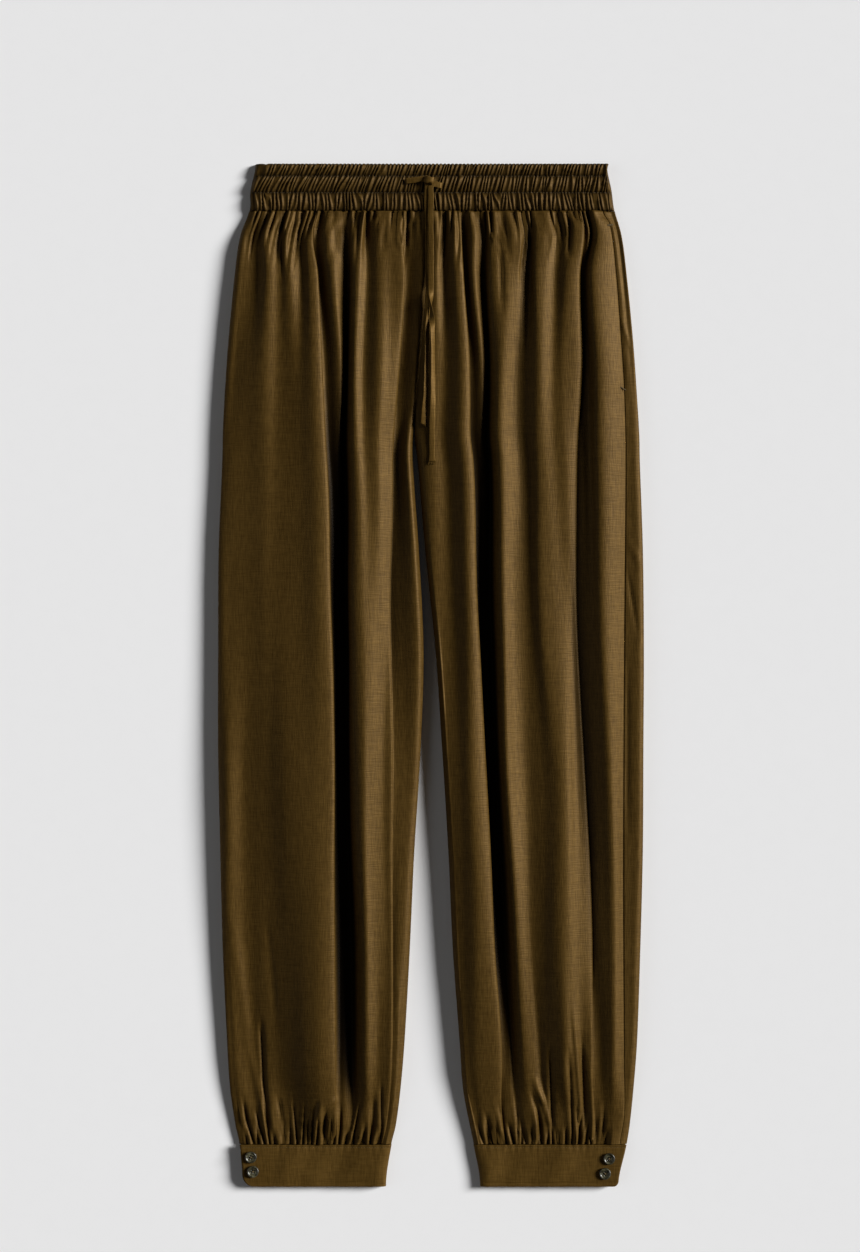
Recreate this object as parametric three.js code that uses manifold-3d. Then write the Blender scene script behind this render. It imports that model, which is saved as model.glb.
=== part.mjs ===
// Balloon trousers laid flat on their back on a surface.
// Millimetres: X across the garment, Y towards the waist, Z up from the surface.
// Right and left are the wearer's, so the wearer's right leg lies on the -X side.
import * as THREE from 'three';
import Module from 'manifold-3d';
import { mergeVertices } from 'three/addons/utils/BufferGeometryUtils.js';

// ---- driving dimensions ----
const LENGTH = 1000;          // waist edge to cuff hem
const BAND_HEIGHT = 46;
const CUFF_TOP = 959;         // distance of the cuff seam from the waist edge
const CLOTH = 1.5;            // wall of one layer of gathered cloth
const CUFF_CLOTH = 1.8;       // interfaced double cloth
const SEAM = 0.3;             // gap left between sewn pieces
const UNDER_WRAP = 14;        // front panel turned under at the right outer edge
const GATHER_FADE_TOP = 80;   // reach of the waist gathers down the leg
const GATHER_FADE_CUFF = 55;  // reach of the cuff gathers up the leg
const BAND_PLEATS = 65;
const TAPE_WIDTH = 6.5;
const TAPE_THICK = 1;
const BUTTON_RADIUS = 5.75;   // an 18 line button
const BUTTON_THICK = 2.4;

// Outline of the laid garment at distances d below the waist edge
const OUTLINE = [
  { d: 0, rightOuter: -172, rightInner: -1, leftInner: -1, leftOuter: 172.5 },
  { d: 26, rightOuter: -177, rightInner: -1, leftInner: -1, leftOuter: 177 },
  { d: 44, rightOuter: -177.5, rightInner: -2, leftInner: -2, leftOuter: 179.5 },
  { d: 70, rightOuter: -186.5, rightInner: -2.5, leftInner: -2.5, leftOuter: 186.5 },
  { d: 105, rightOuter: -191.5, rightInner: -4, leftInner: -4, leftOuter: 191 },
  { d: 173, rightOuter: -198, rightInner: -9, leftInner: -9, leftOuter: 197.5 },
  { d: 231, rightOuter: -202, rightInner: -14, leftInner: -14, leftOuter: 201.5 },
  { d: 265, rightOuter: -203.5, rightInner: -17, leftInner: -16.5, leftOuter: 203.5 },
  { d: 290, rightOuter: -204, rightInner: -17.5, leftInner: -13.5, leftOuter: 204 },
  { d: 378, rightOuter: -207.5, rightInner: -11.5, leftInner: -6, leftOuter: 207 },
  { d: 476, rightOuter: -208, rightInner: -7, leftInner: 4, leftOuter: 208 },
  { d: 573, rightOuter: -208, rightInner: -10, leftInner: 10.5, leftOuter: 207.5 },
  { d: 671, rightOuter: -206, rightInner: -16, leftInner: 16.5, leftOuter: 207 },
  { d: 769, rightOuter: -203.5, rightInner: -20.5, leftInner: 21, leftOuter: 204.5 },
  { d: 857, rightOuter: -199.5, rightInner: -25.5, leftInner: 27.5, leftOuter: 201.5 },
  { d: 905, rightOuter: -196.5, rightInner: -29.5, leftInner: 31, leftOuter: 198 },
  { d: 940, rightOuter: -191.5, rightInner: -34, leftInner: 37.5, leftOuter: 194.5 },
  { d: 959, rightOuter: -187.5, rightInner: -38.5, leftInner: 41.5, leftOuter: 191.5 },
  { d: 1000, rightOuter: -184.5, rightInner: -44, leftInner: 48, leftOuter: 183.5 },
];

// Each row is one fold line down the leg: x across and z up at the six stations
const STATIONS = [85, 280, 476, 671, 866, 940];
const RIGHT_FOLDS = [
  { line: 'edge crest', x: [-177, -190, -190, -188, -182, -177], z: [14, 20, 22, 22, 20, 13] },
  { line: 'edge valley', x: [-163, -175, -152, -143, -130, -128], z: [10, 20, 19, 17, 14, 9] },
  { line: 'broad crest', x: [-143, -148, -136, -125, -116, -115], z: [15, 23, 24, 24, 20, 12] },
  { line: 'soft valley', x: [-120, -119, -117, -110, -105, -104], z: [11, 18, 22, 23, 19, 11] },
  { line: 'sharp rim', x: [-111, -101, -95, -92, -92, -93], z: [15, 22, 25, 26, 20, 11], undercut: 3 },
  { line: 'short valley', x: [-105, -95, -91, -88, -86, -86], z: [10, 11, 10, 10, 9, 8] },
  { line: 'short crest', x: [-91, -89, -87, -85, -81, -79], z: [14, 9, 8, 8, 8, 7] },
  { line: 'deep slot', x: [-80, -84, -83, -81, -76, -73], z: [7, 7.5, 7.5, 7.5, 7.5, 7] },
  { line: 'inner crest', x: [-70, -72, -72, -69, -63, -62], z: [15, 22, 25, 24, 19, 11] },
  { line: 'mid valley', x: [-57, -54, -57, -59, -56, -55], z: [10, 19, 23, 23, 19, 10] },
  { line: 'crisp ridge', x: [-47, -37, -44, -51, -51, -50], z: [15, 24, 27, 27, 21, 12] },
  { line: 'slope', x: [-35, -31, -32, -35, -40, -44], z: [12, 18, 20, 21, 17, 9] },
  { line: 'narrow valley', x: [-20, -25, -19.5, -25, -34, -39], z: [8, 9, 15, 18, 15, 8] },
];
const LEFT_FOLDS = [
  { line: 'inner crest', x: [9, 7, 17.5, 27.5, 39, 45], z: [14, 18, 21, 20, 17, 10] },
  { line: 'narrow valley', x: [17.5, 25.5, 32, 35, 48, 52], z: [9, 14, 17, 19, 17, 9] },
  { line: 'inner slope', x: [27, 34, 42, 49, 59, 61], z: [14, 22, 24, 25, 20, 11] },
  { line: 'sharp rim', x: [35, 42.5, 50.5, 58.5, 69.5, 71.5], z: [14, 23, 26, 26, 20, 11], undercut: 3 },
  { line: 'short crest', x: [47, 51, 54.5, 62, 73, 78], z: [14, 9, 8, 8, 8, 7] },
  { line: 'deep slot', x: [56.5, 57.5, 59.5, 66.5, 79, 87], z: [7, 7.5, 7.5, 7.5, 7.5, 7] },
  { line: 'slot wall', x: [66, 68, 69, 76, 87, 95], z: [14, 21, 23, 23, 19, 11] },
  { line: 'crisp ridge', x: [84, 80, 77.5, 88, 104.5, 116], z: [14, 24, 26, 26, 20, 11] },
  { line: 'ridge slope', x: [92, 90, 92, 99.5, 114.5, 125], z: [12, 20, 20, 20, 17, 9] },
  { line: 'second slot', x: [98.5, 98.5, 106.5, 113.5, 124, 134], z: [7, 8.5, 10, 10, 10, 7] },
  { line: 'middle crest', x: [110, 111, 117, 124, 136, 143], z: [13, 20, 21, 21, 18, 10] },
  { line: 'short valley', x: [123, 127, 127, 132, 150, 154], z: [10, 21, 23, 23, 18, 10] },
  { line: 'outer rim', x: [140, 143, 137, 144, 164, 167], z: [14, 25, 27, 26, 20, 11] },
  { line: 'outer slope', x: [146, 150, 150, 156, 168, 169], z: [11, 18, 19, 18, 14, 8.5] },
  { line: 'outer slot', x: [151, 157, 163, 167, 173, 172], z: [7.5, 8.5, 9.5, 9.5, 8.5, 7] },
  { line: 'seam crest', x: [163, 172, 176, 178, 180, 180], z: [13, 20, 21, 20, 16, 9] },
];
// The left side seam lies on top, where the back panel comes round the edge
const LEFT_SEAM = [
  { d: 46, x: 168 }, { d: 60, x: 175 }, { d: 105, x: 180.5 }, { d: 172, x: 185.5 }, { d: 220, x: 188.5 },
  { d: 280, x: 190 }, { d: 476, x: 188.5 }, { d: 700, x: 187.5 }, { d: 876, x: 188.5 }, { d: 930, x: 189 },
  { d: 959, x: 185 },
];
// Height of the cloth beside the left side seam, and half height of the rolled outer edges
const EDGE_HEIGHTS = [
  { d: 46, seam: 7.5, roll: 3.5 }, { d: 85, seam: 13, roll: 7 }, { d: 280, seam: 17, roll: 9 },
  { d: 671, seam: 16, roll: 9 }, { d: 866, seam: 13, roll: 7.5 }, { d: 959, seam: 6.5, roll: 3.6 },
];
// Rows of the leg panels, closer together at the gathers and at the crotch
const LEG_ROWS = [46.3, 56, 72, 92, 122, 170, 222, 252, 272, 292, 330, 400, 476, 571, 671, 769, 866, 905, 928,
  945, 958.7];
const CROTCH = { start: 236, end: 286 };   // where the centre seam turns down into the inner legs
const POCKET = { top: 60, bottom: 300, reach: 108 };

// ---- small helpers ----
const mix = (a, b, t) => a + (b - a) * t;
const clamp01 = (t) => Math.min(1, Math.max(0, t));
const smooth = (from, to, v) => {
  const t = clamp01((v - from) / (to - from));
  return t * t * (3 - 2 * t);
};
const uneven = (i) => Math.sin(i * 12.9898) * 0.5 + Math.sin(i * 4.137 + 1.3) * 0.5;   // repeatable, -1 to 1

// Cubic through the points (ds, vs), flat beyond its ends
function curveAt(ds, vs, d) {
  if (d <= ds[0]) return vs[0];
  const last = ds.length - 1;
  if (d >= ds[last]) return vs[last];
  let i = 0;
  while (d > ds[i + 1]) i += 1;
  const slope = (k) => (k === 0 || k === last ? 0 : (vs[k + 1] - vs[k - 1]) / (ds[k + 1] - ds[k - 1]));
  const h = ds[i + 1] - ds[i];
  const t = (d - ds[i]) / h;
  const t2 = t * t;
  const t3 = t2 * t;
  return (2 * t3 - 3 * t2 + 1) * vs[i] + (t3 - 2 * t2 + t) * h * slope(i)
    + (3 * t2 - 2 * t3) * vs[i + 1] + (t3 - t2) * h * slope(i + 1);
}
const column = (table, key, d) => curveAt(table.map((row) => row.d), table.map((row) => row[key]), d);

// ---- closed walls ----
// Joins two edge strips of points, however many each has
function zip(indices, outer, inner) {
  let i = 0;
  let j = 0;
  while (i < outer.length - 1 || j < inner.length - 1) {
    const nextOuter = (i + 1) / Math.max(1, outer.length - 1);
    const nextInner = (j + 1) / Math.max(1, inner.length - 1);
    if (j === inner.length - 1 || (i < outer.length - 1 && nextOuter <= nextInner)) {
      indices.push(outer[i], outer[i + 1], inner[j]);
      i += 1;
    } else {
      indices.push(outer[i], inner[j + 1], inner[j]);
      j += 1;
    }
  }
}

// A closed body from an outer and an inner grid of [x, y, z] points
function wallGeometry(outer, inner) {
  const points = [];
  const add = (grid) => grid.map((row) => row.map((p) => points.push(p) - 1));
  const o = add(outer);
  const n = add(inner);
  const indices = [];
  const face = (grid, flip) => {
    for (let r = 0; r < grid.length - 1; r += 1) {
      for (let c = 0; c < grid[r].length - 1; c += 1) {
        const [a, b, e, f] = [grid[r][c], grid[r + 1][c], grid[r + 1][c + 1], grid[r][c + 1]];
        if (flip) indices.push(a, e, b, a, f, e);
        else indices.push(a, b, e, a, e, f);
      }
    }
  };
  face(o, false);
  face(n, true);
  const last = (grid) => grid[grid.length - 1];
  const side = (grid, at) => grid.map((row) => row[at(row)]);
  const first = () => 0;
  const end = (row) => row.length - 1;
  zip(indices, o[0], n[0]);
  zip(indices, side(o, end), side(n, end));
  zip(indices, [...last(o)].reverse(), [...last(n)].reverse());
  zip(indices, side(o, first).reverse(), side(n, first).reverse());
  let volume = 0;
  for (let k = 0; k < indices.length; k += 3) {
    const [a, b, c] = [0, 1, 2].map((q) => new THREE.Vector3(...points[indices[k + q]]));
    volume += a.dot(b.cross(c));
  }
  if (volume < 0) {
    for (let k = 0; k < indices.length; k += 3) {
      [indices[k + 1], indices[k + 2]] = [indices[k + 2], indices[k + 1]];
    }
  }
  const geometry = new THREE.BufferGeometry();
  geometry.setAttribute('position', new THREE.Float32BufferAttribute(points.flat(), 3));
  geometry.setIndex(indices);
  return geometry;
}

// Rows of middle points {x, z, up, side} become a wall; up and side fix the normal where they are given
function clothWall(rows, thickness) {
  const offset = (sign) => rows.map(({ d, points }) => points.map((p, i) => {
    const before = points[Math.max(0, i - 1)];
    const after = points[Math.min(points.length - 1, i + 1)];
    let nx = -(after.z - before.z);
    let nz = after.x - before.x;
    if (p.normal) [nx, nz] = p.normal;
    const reach = (sign * thickness) / 2 / Math.hypot(nx, nz);
    return [p.x + nx * reach, LENGTH / 2 - d, Math.max(0, p.z + nz * reach)];
  }));
  return wallGeometry(offset(1), offset(-1));
}

// Centripetal curve through a section's control points, with a number of steps for each span
function sectionCurve(controls, steps) {
  const curve = new THREE.CatmullRomCurve3(
    controls.map((p) => new THREE.Vector3(p.x, p.z, 0)), false, 'centripetal');
  const points = [];
  for (let i = 0; i < controls.length - 1; i += 1) {
    for (let s = 0; s < steps[i]; s += 1) {
      const p = curve.getPoint((i + s / steps[i]) / (controls.length - 1));
      points.push({ x: p.x, z: Math.max(p.y, CLOTH / 2) });
    }
  }
  const end = controls[controls.length - 1];
  points.push({ x: end.x, z: end.z });
  return points;
}

// ---- leg panels ----
// Position across a panel is kept as a share of its width, so folds follow the outline
function foldControls(folds, outerKey, innerKey, d) {
  const outer = column(OUTLINE, outerKey, d);
  const inner = column(OUTLINE, innerKey, d);
  const controls = [];
  for (const fold of folds) {
    const shares = fold.x.map((x, i) => {
      const from = column(OUTLINE, outerKey, STATIONS[i]);
      const to = column(OUTLINE, innerKey, STATIONS[i]);
      return (x - from) / (to - from);
    });
    const x = mix(outer, inner, curveAt(STATIONS, shares, d));
    const z = curveAt(STATIONS, fold.z, d);
    controls.push({ x, z });
    if (fold.undercut) {
      const depth = fold.undercut * smooth(90, 250, d) * smooth(945, 860, d);
      controls.push({ x: x - depth * 0.6, z: z - 2.2 - depth });
    }
  }
  return { controls, outer, inner };
}

// How far the folds have taken over from the gathers at the waist and cuff seams
const foldShare = (d) => smooth(BAND_HEIGHT - 6, BAND_HEIGHT + GATHER_FADE_TOP, d)
  * smooth(CUFF_TOP + 4, CUFF_TOP - GATHER_FADE_CUFF, d);

// Gathers: even columns, alternately up and down, blended into the fold section
function gather(points, from, to, d, seed) {
  const share = foldShare(d);
  const height = d < LENGTH / 2 ? 1.5 : 1.2;
  const base = d < LENGTH / 2 ? 8.2 : 7.2;
  const x0 = points[from].x;
  const x1 = points[to].x;
  return points.map((p, i) => {
    if (i <= from || i >= to) return p;
    const t = (i - from) / (to - from);
    const wave = (i % 2 ? 1 : -1) * height * (1 + 0.35 * uneven(i + seed));
    const x = mix(x0, x1, t + 0.006 * uneven(i * 3 + seed));
    return { x: mix(x, p.x, share), z: mix(base + wave, p.z, share) };
  });
}

// Mixes the normal of an inner edge from upright at the centre seam to level on the inner leg
function turnDown(d, towards) {
  const turn = smooth(CROTCH.start, CROTCH.end, d) * (Math.PI / 2);
  return [Math.sin(turn) * towards, Math.cos(turn)];
}

// Inner edge of a front panel: the centre seam above the crotch, a rolled edge standing on the back below it
function innerEdge(inner, towards, d) {
  const down = smooth(CROTCH.start, CROTCH.end, d);
  const seamHeight = mix(mix(7.5, 11, smooth(BAND_HEIGHT, 110, d)), 11, down);
  const roll = curveAt([46, 280, 671, 866, 959], [3.5, 9, 9, 8, 4], d);
  const half = CLOTH / 2;
  const brow = { x: inner - towards * mix(4, 3.5, down), z: mix(seamHeight + 1.2, roll + 5, down) };
  const bulge = { x: inner - towards * mix(1.6, half, down), z: mix(seamHeight + 0.3, roll, down) };
  const foot = {
    x: inner - towards * mix(SEAM / 2, half + 1.2, down),
    z: mix(seamHeight, CLOTH + SEAM, down),
    normal: turnDown(d, towards),
  };
  return [brow, bulge, foot];
}

function rightFrontSection(d) {
  const { controls, outer, inner } = foldControls(RIGHT_FOLDS, 'rightOuter', 'rightInner', d);
  const roll = column(EDGE_HEIGHTS, 'roll', d);
  const half = CLOTH / 2;
  const start = [
    { x: outer + UNDER_WRAP, z: half },
    { x: outer + 4.5, z: half },
    { x: outer + half, z: roll },
    { x: outer + 4.5, z: roll * 1.75 },
  ];
  const all = [...start, ...controls, ...innerEdge(inner, 1, d)];
  const steps = all.map((p, i) => (i < 1 ? 1 : 2));
  steps[start.length] = 3;
  let points = sectionCurve(all, steps);
  const from = 1 + 2 * 3;
  points = gather(points, from, points.length - 4, d, 3);
  points[0].normal = [0, -1];
  points[1].normal = [0, -1];
  points[points.length - 1].normal = turnDown(d, 1);
  return points;
}

function leftFrontSection(d) {
  const { controls, inner } = foldControls(LEFT_FOLDS, 'leftOuter', 'leftInner', d);
  const seam = column(LEFT_SEAM, 'x', d);
  const seamHeight = column(EDGE_HEIGHTS, 'seam', d);
  // the seam comes further in than the outline at both ends, so the outer folds close up before it
  const squeeze = clamp01((seam - 5 - inner) / (controls[controls.length - 1].x - inner));
  const kept = controls.map((p) => ({ x: mix(inner, p.x, Math.min(1, squeeze)), z: p.z }));
  const all = [...innerEdge(inner, -1, d).reverse(), ...kept, { x: seam - SEAM / 2, z: seamHeight }];
  const steps = all.map(() => 2);
  steps[9] = 3;
  let points = sectionCurve(all, steps);
  points = gather(points, 3, points.length - 2, d, 11);
  points[0].normal = turnDown(d, -1);
  points[points.length - 1].normal = [0, 1];
  return points;
}

function rightBackSection(d) {
  const start = column(OUTLINE, 'rightOuter', d) + UNDER_WRAP + SEAM;
  const end = mix(column(OUTLINE, 'rightInner', d) - SEAM / 2, column(OUTLINE, 'rightInner', d) - 1,
    smooth(CROTCH.start, CROTCH.end, d));
  return [0, 0.34, 0.67, 1].map((t) => ({ x: mix(start, end, t), z: CLOTH / 2, normal: [0, 1] }));
}

function leftBackSection(d) {
  const outer = column(OUTLINE, 'leftOuter', d);
  const inner = column(OUTLINE, 'leftInner', d);
  const start = mix(inner + SEAM / 2, inner + 1, smooth(CROTCH.start, CROTCH.end, d));
  const roll = column(EDGE_HEIGHTS, 'roll', d);
  const seam = column(LEFT_SEAM, 'x', d);
  const seamHeight = column(EDGE_HEIGHTS, 'seam', d);
  const half = CLOTH / 2;
  const floor = [0, 0.4, 0.8].map((t) => ({ x: mix(start, outer - 6, t), z: half, normal: [0, 1] }));
  const turn = [
    { x: outer - 6, z: half },
    { x: outer - half, z: roll },
    { x: outer - 4, z: roll * 1.65 },
    { x: mix(outer - 4, seam, 0.55), z: mix(roll * 1.65, seamHeight, 0.7) },
    { x: seam + SEAM / 2, z: seamHeight },
  ];
  const points = sectionCurve(turn, [3, 2, 2, 2]);
  points[0].normal = [0, 1];
  points[points.length - 1].normal = [0, -1];
  // the section runs from the inner leg, along the surface, round the edge and back over the top
  return [...floor, ...points];
}

const legPanel = (section) => clothWall(LEG_ROWS.map((d) => ({ d, points: section(d) })), CLOTH);

// ---- waistband ----
// Three stitched channels: pleats and channel bulges in the outer points over a plain arched inside
function waistbandFront() {
  const rows = [SEAM / 2, 5.5, 12.2, 20, 28.5, 37, BAND_HEIGHT - SEAM / 2];
  const insideHeight = 3;
  const outer = [];
  const inner = [];
  rows.forEach((d, r) => {
    const left = column(OUTLINE, 'leftOuter', d);
    const right = column(OUTLINE, 'rightOuter', d);
    const y = LENGTH / 2 - d;
    const bulge = r % 2 ? 1.4 : 0;
    const lean = 0.3 * Math.min(0, d - 28.5);
    const row = [[right, y, 0], [right + 0.8, y, 3.6]];
    const count = BAND_PLEATS * 2;
    for (let i = 0; i <= count; i += 1) {
      const t = i / count;
      const edge = Math.min(1, Math.min(t, 1 - t) * 12);
      const x = mix(right + 2.5, left - 2.5, t + (0.0016 * uneven(i + 5))) - lean * edge;
      const pleat = (i % 2) * (r === 0 || r === 6 ? 1 : 1.5) * (1 + 0.3 * uneven(i * 2 + r));
      row.push([x, y, insideHeight + 2.6 + 1.5 * edge + bulge + pleat]);
    }
    row.push([left - 0.8, y, 3.6], [left, y, 0]);
    outer.push(row);
    inner.push([[right + 2, y, 0], [right + 2.8, y, insideHeight], [right + 30, y, insideHeight + 1],
      [0, y, insideHeight + 1], [left - 30, y, insideHeight + 1], [left - 2.8, y, insideHeight],
      [left - 2, y, 0]]);
  });
  return wallGeometry(outer, inner);
}

function waistbandBack() {
  const edge = 3 + SEAM;
  const rows = [SEAM / 2, 26, BAND_HEIGHT - SEAM / 2].map((d) => {
    const right = column(OUTLINE, 'rightOuter', d) + edge;
    const left = column(OUTLINE, 'leftOuter', d) - edge;
    return { d, points: [0, 0.5, 1].map((t) => ({ x: mix(right, left, t), z: 1.25, normal: [0, 1] })) };
  });
  return clothWall(rows, 2.5);
}

// ---- cuffs ----
// A strip that starts as an underlap at the outer edge, runs round the back and ends in a lap on top
const CUFF_TOP_HEIGHT = 7;    // middle of the upper layer
const CUFFS = {
  right: { outerKey: 'rightOuter', innerKey: 'rightInner', towards: 1, corner: 11 },
  left: { outerKey: 'leftOuter', innerKey: 'leftInner', towards: -1, corner: 5 },
};
function cuff({ outerKey, innerKey, towards, corner }) {
  const half = CUFF_CLOTH / 2;
  const rows = [CUFF_TOP + SEAM / 2, 970, 988, 992.5, 996, 998.6, LENGTH].map((d) => {
    const outer = column(OUTLINE, outerKey, d);
    const inner = column(OUTLINE, innerKey, d);
    const above = LENGTH - d;
    const round = above < corner ? corner - Math.sqrt(corner ** 2 - (corner - above) ** 2) : 0;
    const at = (x, z, share = 0) => ({ x: x + towards * round * share, z });
    const out = (k) => outer + towards * k;
    const inn = (k) => inner - towards * k;
    const points = [
      at(out(34), 3.9), at(out(8), 3.9, 0.5), at(out(3.2), 3.6, 1), at(out(1.9), 2.4, 1), at(out(3.4), 1.2, 1),
      at(out(7), half, 0.6), at(out(40), half), at(inn(30), half), at(inn(5), half), at(inn(1.9), 1.7),
      at(inn(half), 3.7), at(inn(1.8), 5.8), at(inn(5), CUFF_TOP_HEIGHT), at(inn(36), CUFF_TOP_HEIGHT),
      at(out(36), CUFF_TOP_HEIGHT), at(out(12), CUFF_TOP_HEIGHT, 0.3), at(out(0.4), CUFF_TOP_HEIGHT, 1),
    ];
    points[points.length - 1].normal = [0, -towards];
    points[0].normal = [0, -towards];
    return { d, points };
  });
  return clothWall(rows, CUFF_CLOTH);
}

// ---- buttons ----
const wasm = await Module();
wasm.setup();
function toSolid(geometry) {
  const plain = geometry.clone();
  plain.deleteAttribute('normal');
  plain.deleteAttribute('uv');
  const merged = mergeVertices(plain, 1e-4);
  return new wasm.Manifold(new wasm.Mesh({
    numProp: 3,
    vertProperties: new Float32Array(merged.attributes.position.array),
    triVerts: new Uint32Array(merged.index.array),
  }));
}
function toGeometry(solid) {
  const mesh = solid.getMesh();
  const geometry = new THREE.BufferGeometry();
  geometry.setAttribute('position', new THREE.BufferAttribute(new Float32Array(mesh.vertProperties), 3));
  geometry.setIndex(new THREE.BufferAttribute(new Uint32Array(mesh.triVerts), 1));
  return geometry;
}
// Four-hole button: a turned disc with a raised rim, its underside on z = 0
function buttonGeometry() {
  const profile = [
    [0, 0], [BUTTON_RADIUS - 0.7, 0], [BUTTON_RADIUS, 0.9], [BUTTON_RADIUS - 0.3, BUTTON_THICK - 0.3],
    [BUTTON_RADIUS - 1, BUTTON_THICK], [BUTTON_RADIUS - 1.9, BUTTON_THICK - 0.8], [0, BUTTON_THICK - 0.9],
  ].map(([r, z]) => new THREE.Vector2(r, z));
  const disc = new THREE.LatheGeometry(profile, 20);
  disc.rotateX(Math.PI / 2);
  let solid = toSolid(disc);
  for (const [sx, sy] of [[1, 1], [-1, 1], [-1, -1], [1, -1]]) {
    const hole = new THREE.CylinderGeometry(0.75, 0.75, 2 * BUTTON_THICK, 6);
    hole.rotateX(Math.PI / 2);
    hole.translate(sx * 1.25, sy * 1.25, BUTTON_THICK / 2);
    solid = solid.subtract(toSolid(hole));
  }
  return toGeometry(solid);
}

// ---- pockets ----
// Flat bags inside the legs; the left one hangs from the seam on top, the right one from the seam below
function pocket(side) {
  const rows = [POCKET.top, 110, 165, 222, 262, 285, POCKET.bottom].map((d) => {
    const below = d - POCKET.top;
    const reach = POCKET.reach * Math.sqrt(Math.max(0.08, 1 - ((below - 90) / 162) ** 2));
    if (side < 0) {
      const seam = column(OUTLINE, 'rightOuter', d) + UNDER_WRAP;
      const z = CLOTH + SEAM + CLOTH / 2;
      return { d, points: [2, reach / 2, reach].map((k) => ({ x: seam + k, z, normal: [0, 1] })) };
    }
    const seam = column(LEFT_SEAM, 'x', d);
    const z = CLOTH + SEAM + CLOTH / 2;
    const top = column(EDGE_HEIGHTS, 'seam', d) - CLOTH - SEAM;
    const mouth = d < 225 ? top : mix(top, z + 2, smooth(225, 262, d));
    return { d, points: [
      { x: seam - reach, z, normal: [0, 1] }, { x: seam - reach / 2, z, normal: [0, 1] },
      { x: seam - 16, z, normal: [0, 1] }, { x: seam - 9, z: mix(z, mouth, 0.42) }, { x: seam - 2.5, z: mouth },
    ] };
  });
  return clothWall(rows, CLOTH);
}

// ---- drawstring ----
// Height of the cloth's upper face over a small window, so a tape laid there clears every fold
function clothHeight(x, d, reachX = TAPE_WIDTH / 2 + 0.5) {
  if (d < BAND_HEIGHT) return 10.4;
  let top = 0;
  for (const section of [rightFrontSection(d), leftFrontSection(d)]) {
    for (let i = 0; i < section.length - 1; i += 1) {
      const [a, b] = [section[i], section[i + 1]];
      if (Math.max(a.x, b.x) > x - reachX && Math.min(a.x, b.x) < x + reachX) {
        top = Math.max(top, a.z, b.z);
      }
    }
  }
  return top + CLOTH / 2;
}
const KNOT = { x: -2, d: 17, width: 11, height: 13, thick: 5 };
// Routes of the tapes: x across, d from the waist edge, lift above the cloth under the tape
const TAPES = {
  drawstring_left_slit: [
    { x: -25, d: 17.5, lift: 0.2 }, { x: -21, d: 17.2, lift: 0.9 }, { x: -15, d: 16.5, lift: 1.2 },
    { x: -8.2, d: 15.5, lift: 1.2 },
  ],
  drawstring_right_slit: [
    { x: 10.5, d: 22, lift: 0.2 }, { x: 8, d: 21.7, lift: 0.8 }, { x: 4.2, d: 20.6, lift: 1.2 },
  ],
  drawstring_right_end: [
    { x: -0.5, d: 24.6, lift: 2.2 }, { x: 0, d: 34, lift: 1.9 }, { x: -0.5, d: 52, lift: 1.9 },
    { x: 0, d: 75, lift: 1.9 }, { x: 0, d: 100, lift: 1.9 }, { x: 0, d: 125, lift: 1.9 },
    { x: 0.5, d: 145, lift: 1.9 }, { x: 1.5, d: 165, lift: 1.9 }, { x: 2, d: 185, lift: 1.9 },
    { x: 2, d: 205, lift: 1.9 }, { x: 2, d: 225, lift: 1.9 }, { x: 1.5, d: 245, lift: 1.9 },
    { x: 1, d: 260, lift: 1.5 }, { x: 1, d: 276, lift: 0.9 }, { x: 1, d: 292, lift: 0.9 },
  ],
  drawstring_left_end: [
    { x: -3.5, d: 24.6, lift: 0.6 }, { x: -4, d: 34, lift: 0.4 }, { x: -3.5, d: 52, lift: 0.4 },
    { x: -3, d: 75, lift: 0.4 }, { x: -3, d: 100, lift: 0.4 }, { x: -2.5, d: 125, lift: 0.4 },
    { x: -2.5, d: 145, lift: 0.4 }, { x: -3.5, d: 165, lift: 0.4 }, { x: -4, d: 185, lift: 0.4 },
    { x: -4.5, d: 205, lift: 0.4 }, { x: -5, d: 225, lift: 0.4 }, { x: -6.5, d: 242, lift: 0.4 },
    { x: -7.5, d: 256, lift: 0.4 },
  ],
};
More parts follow.
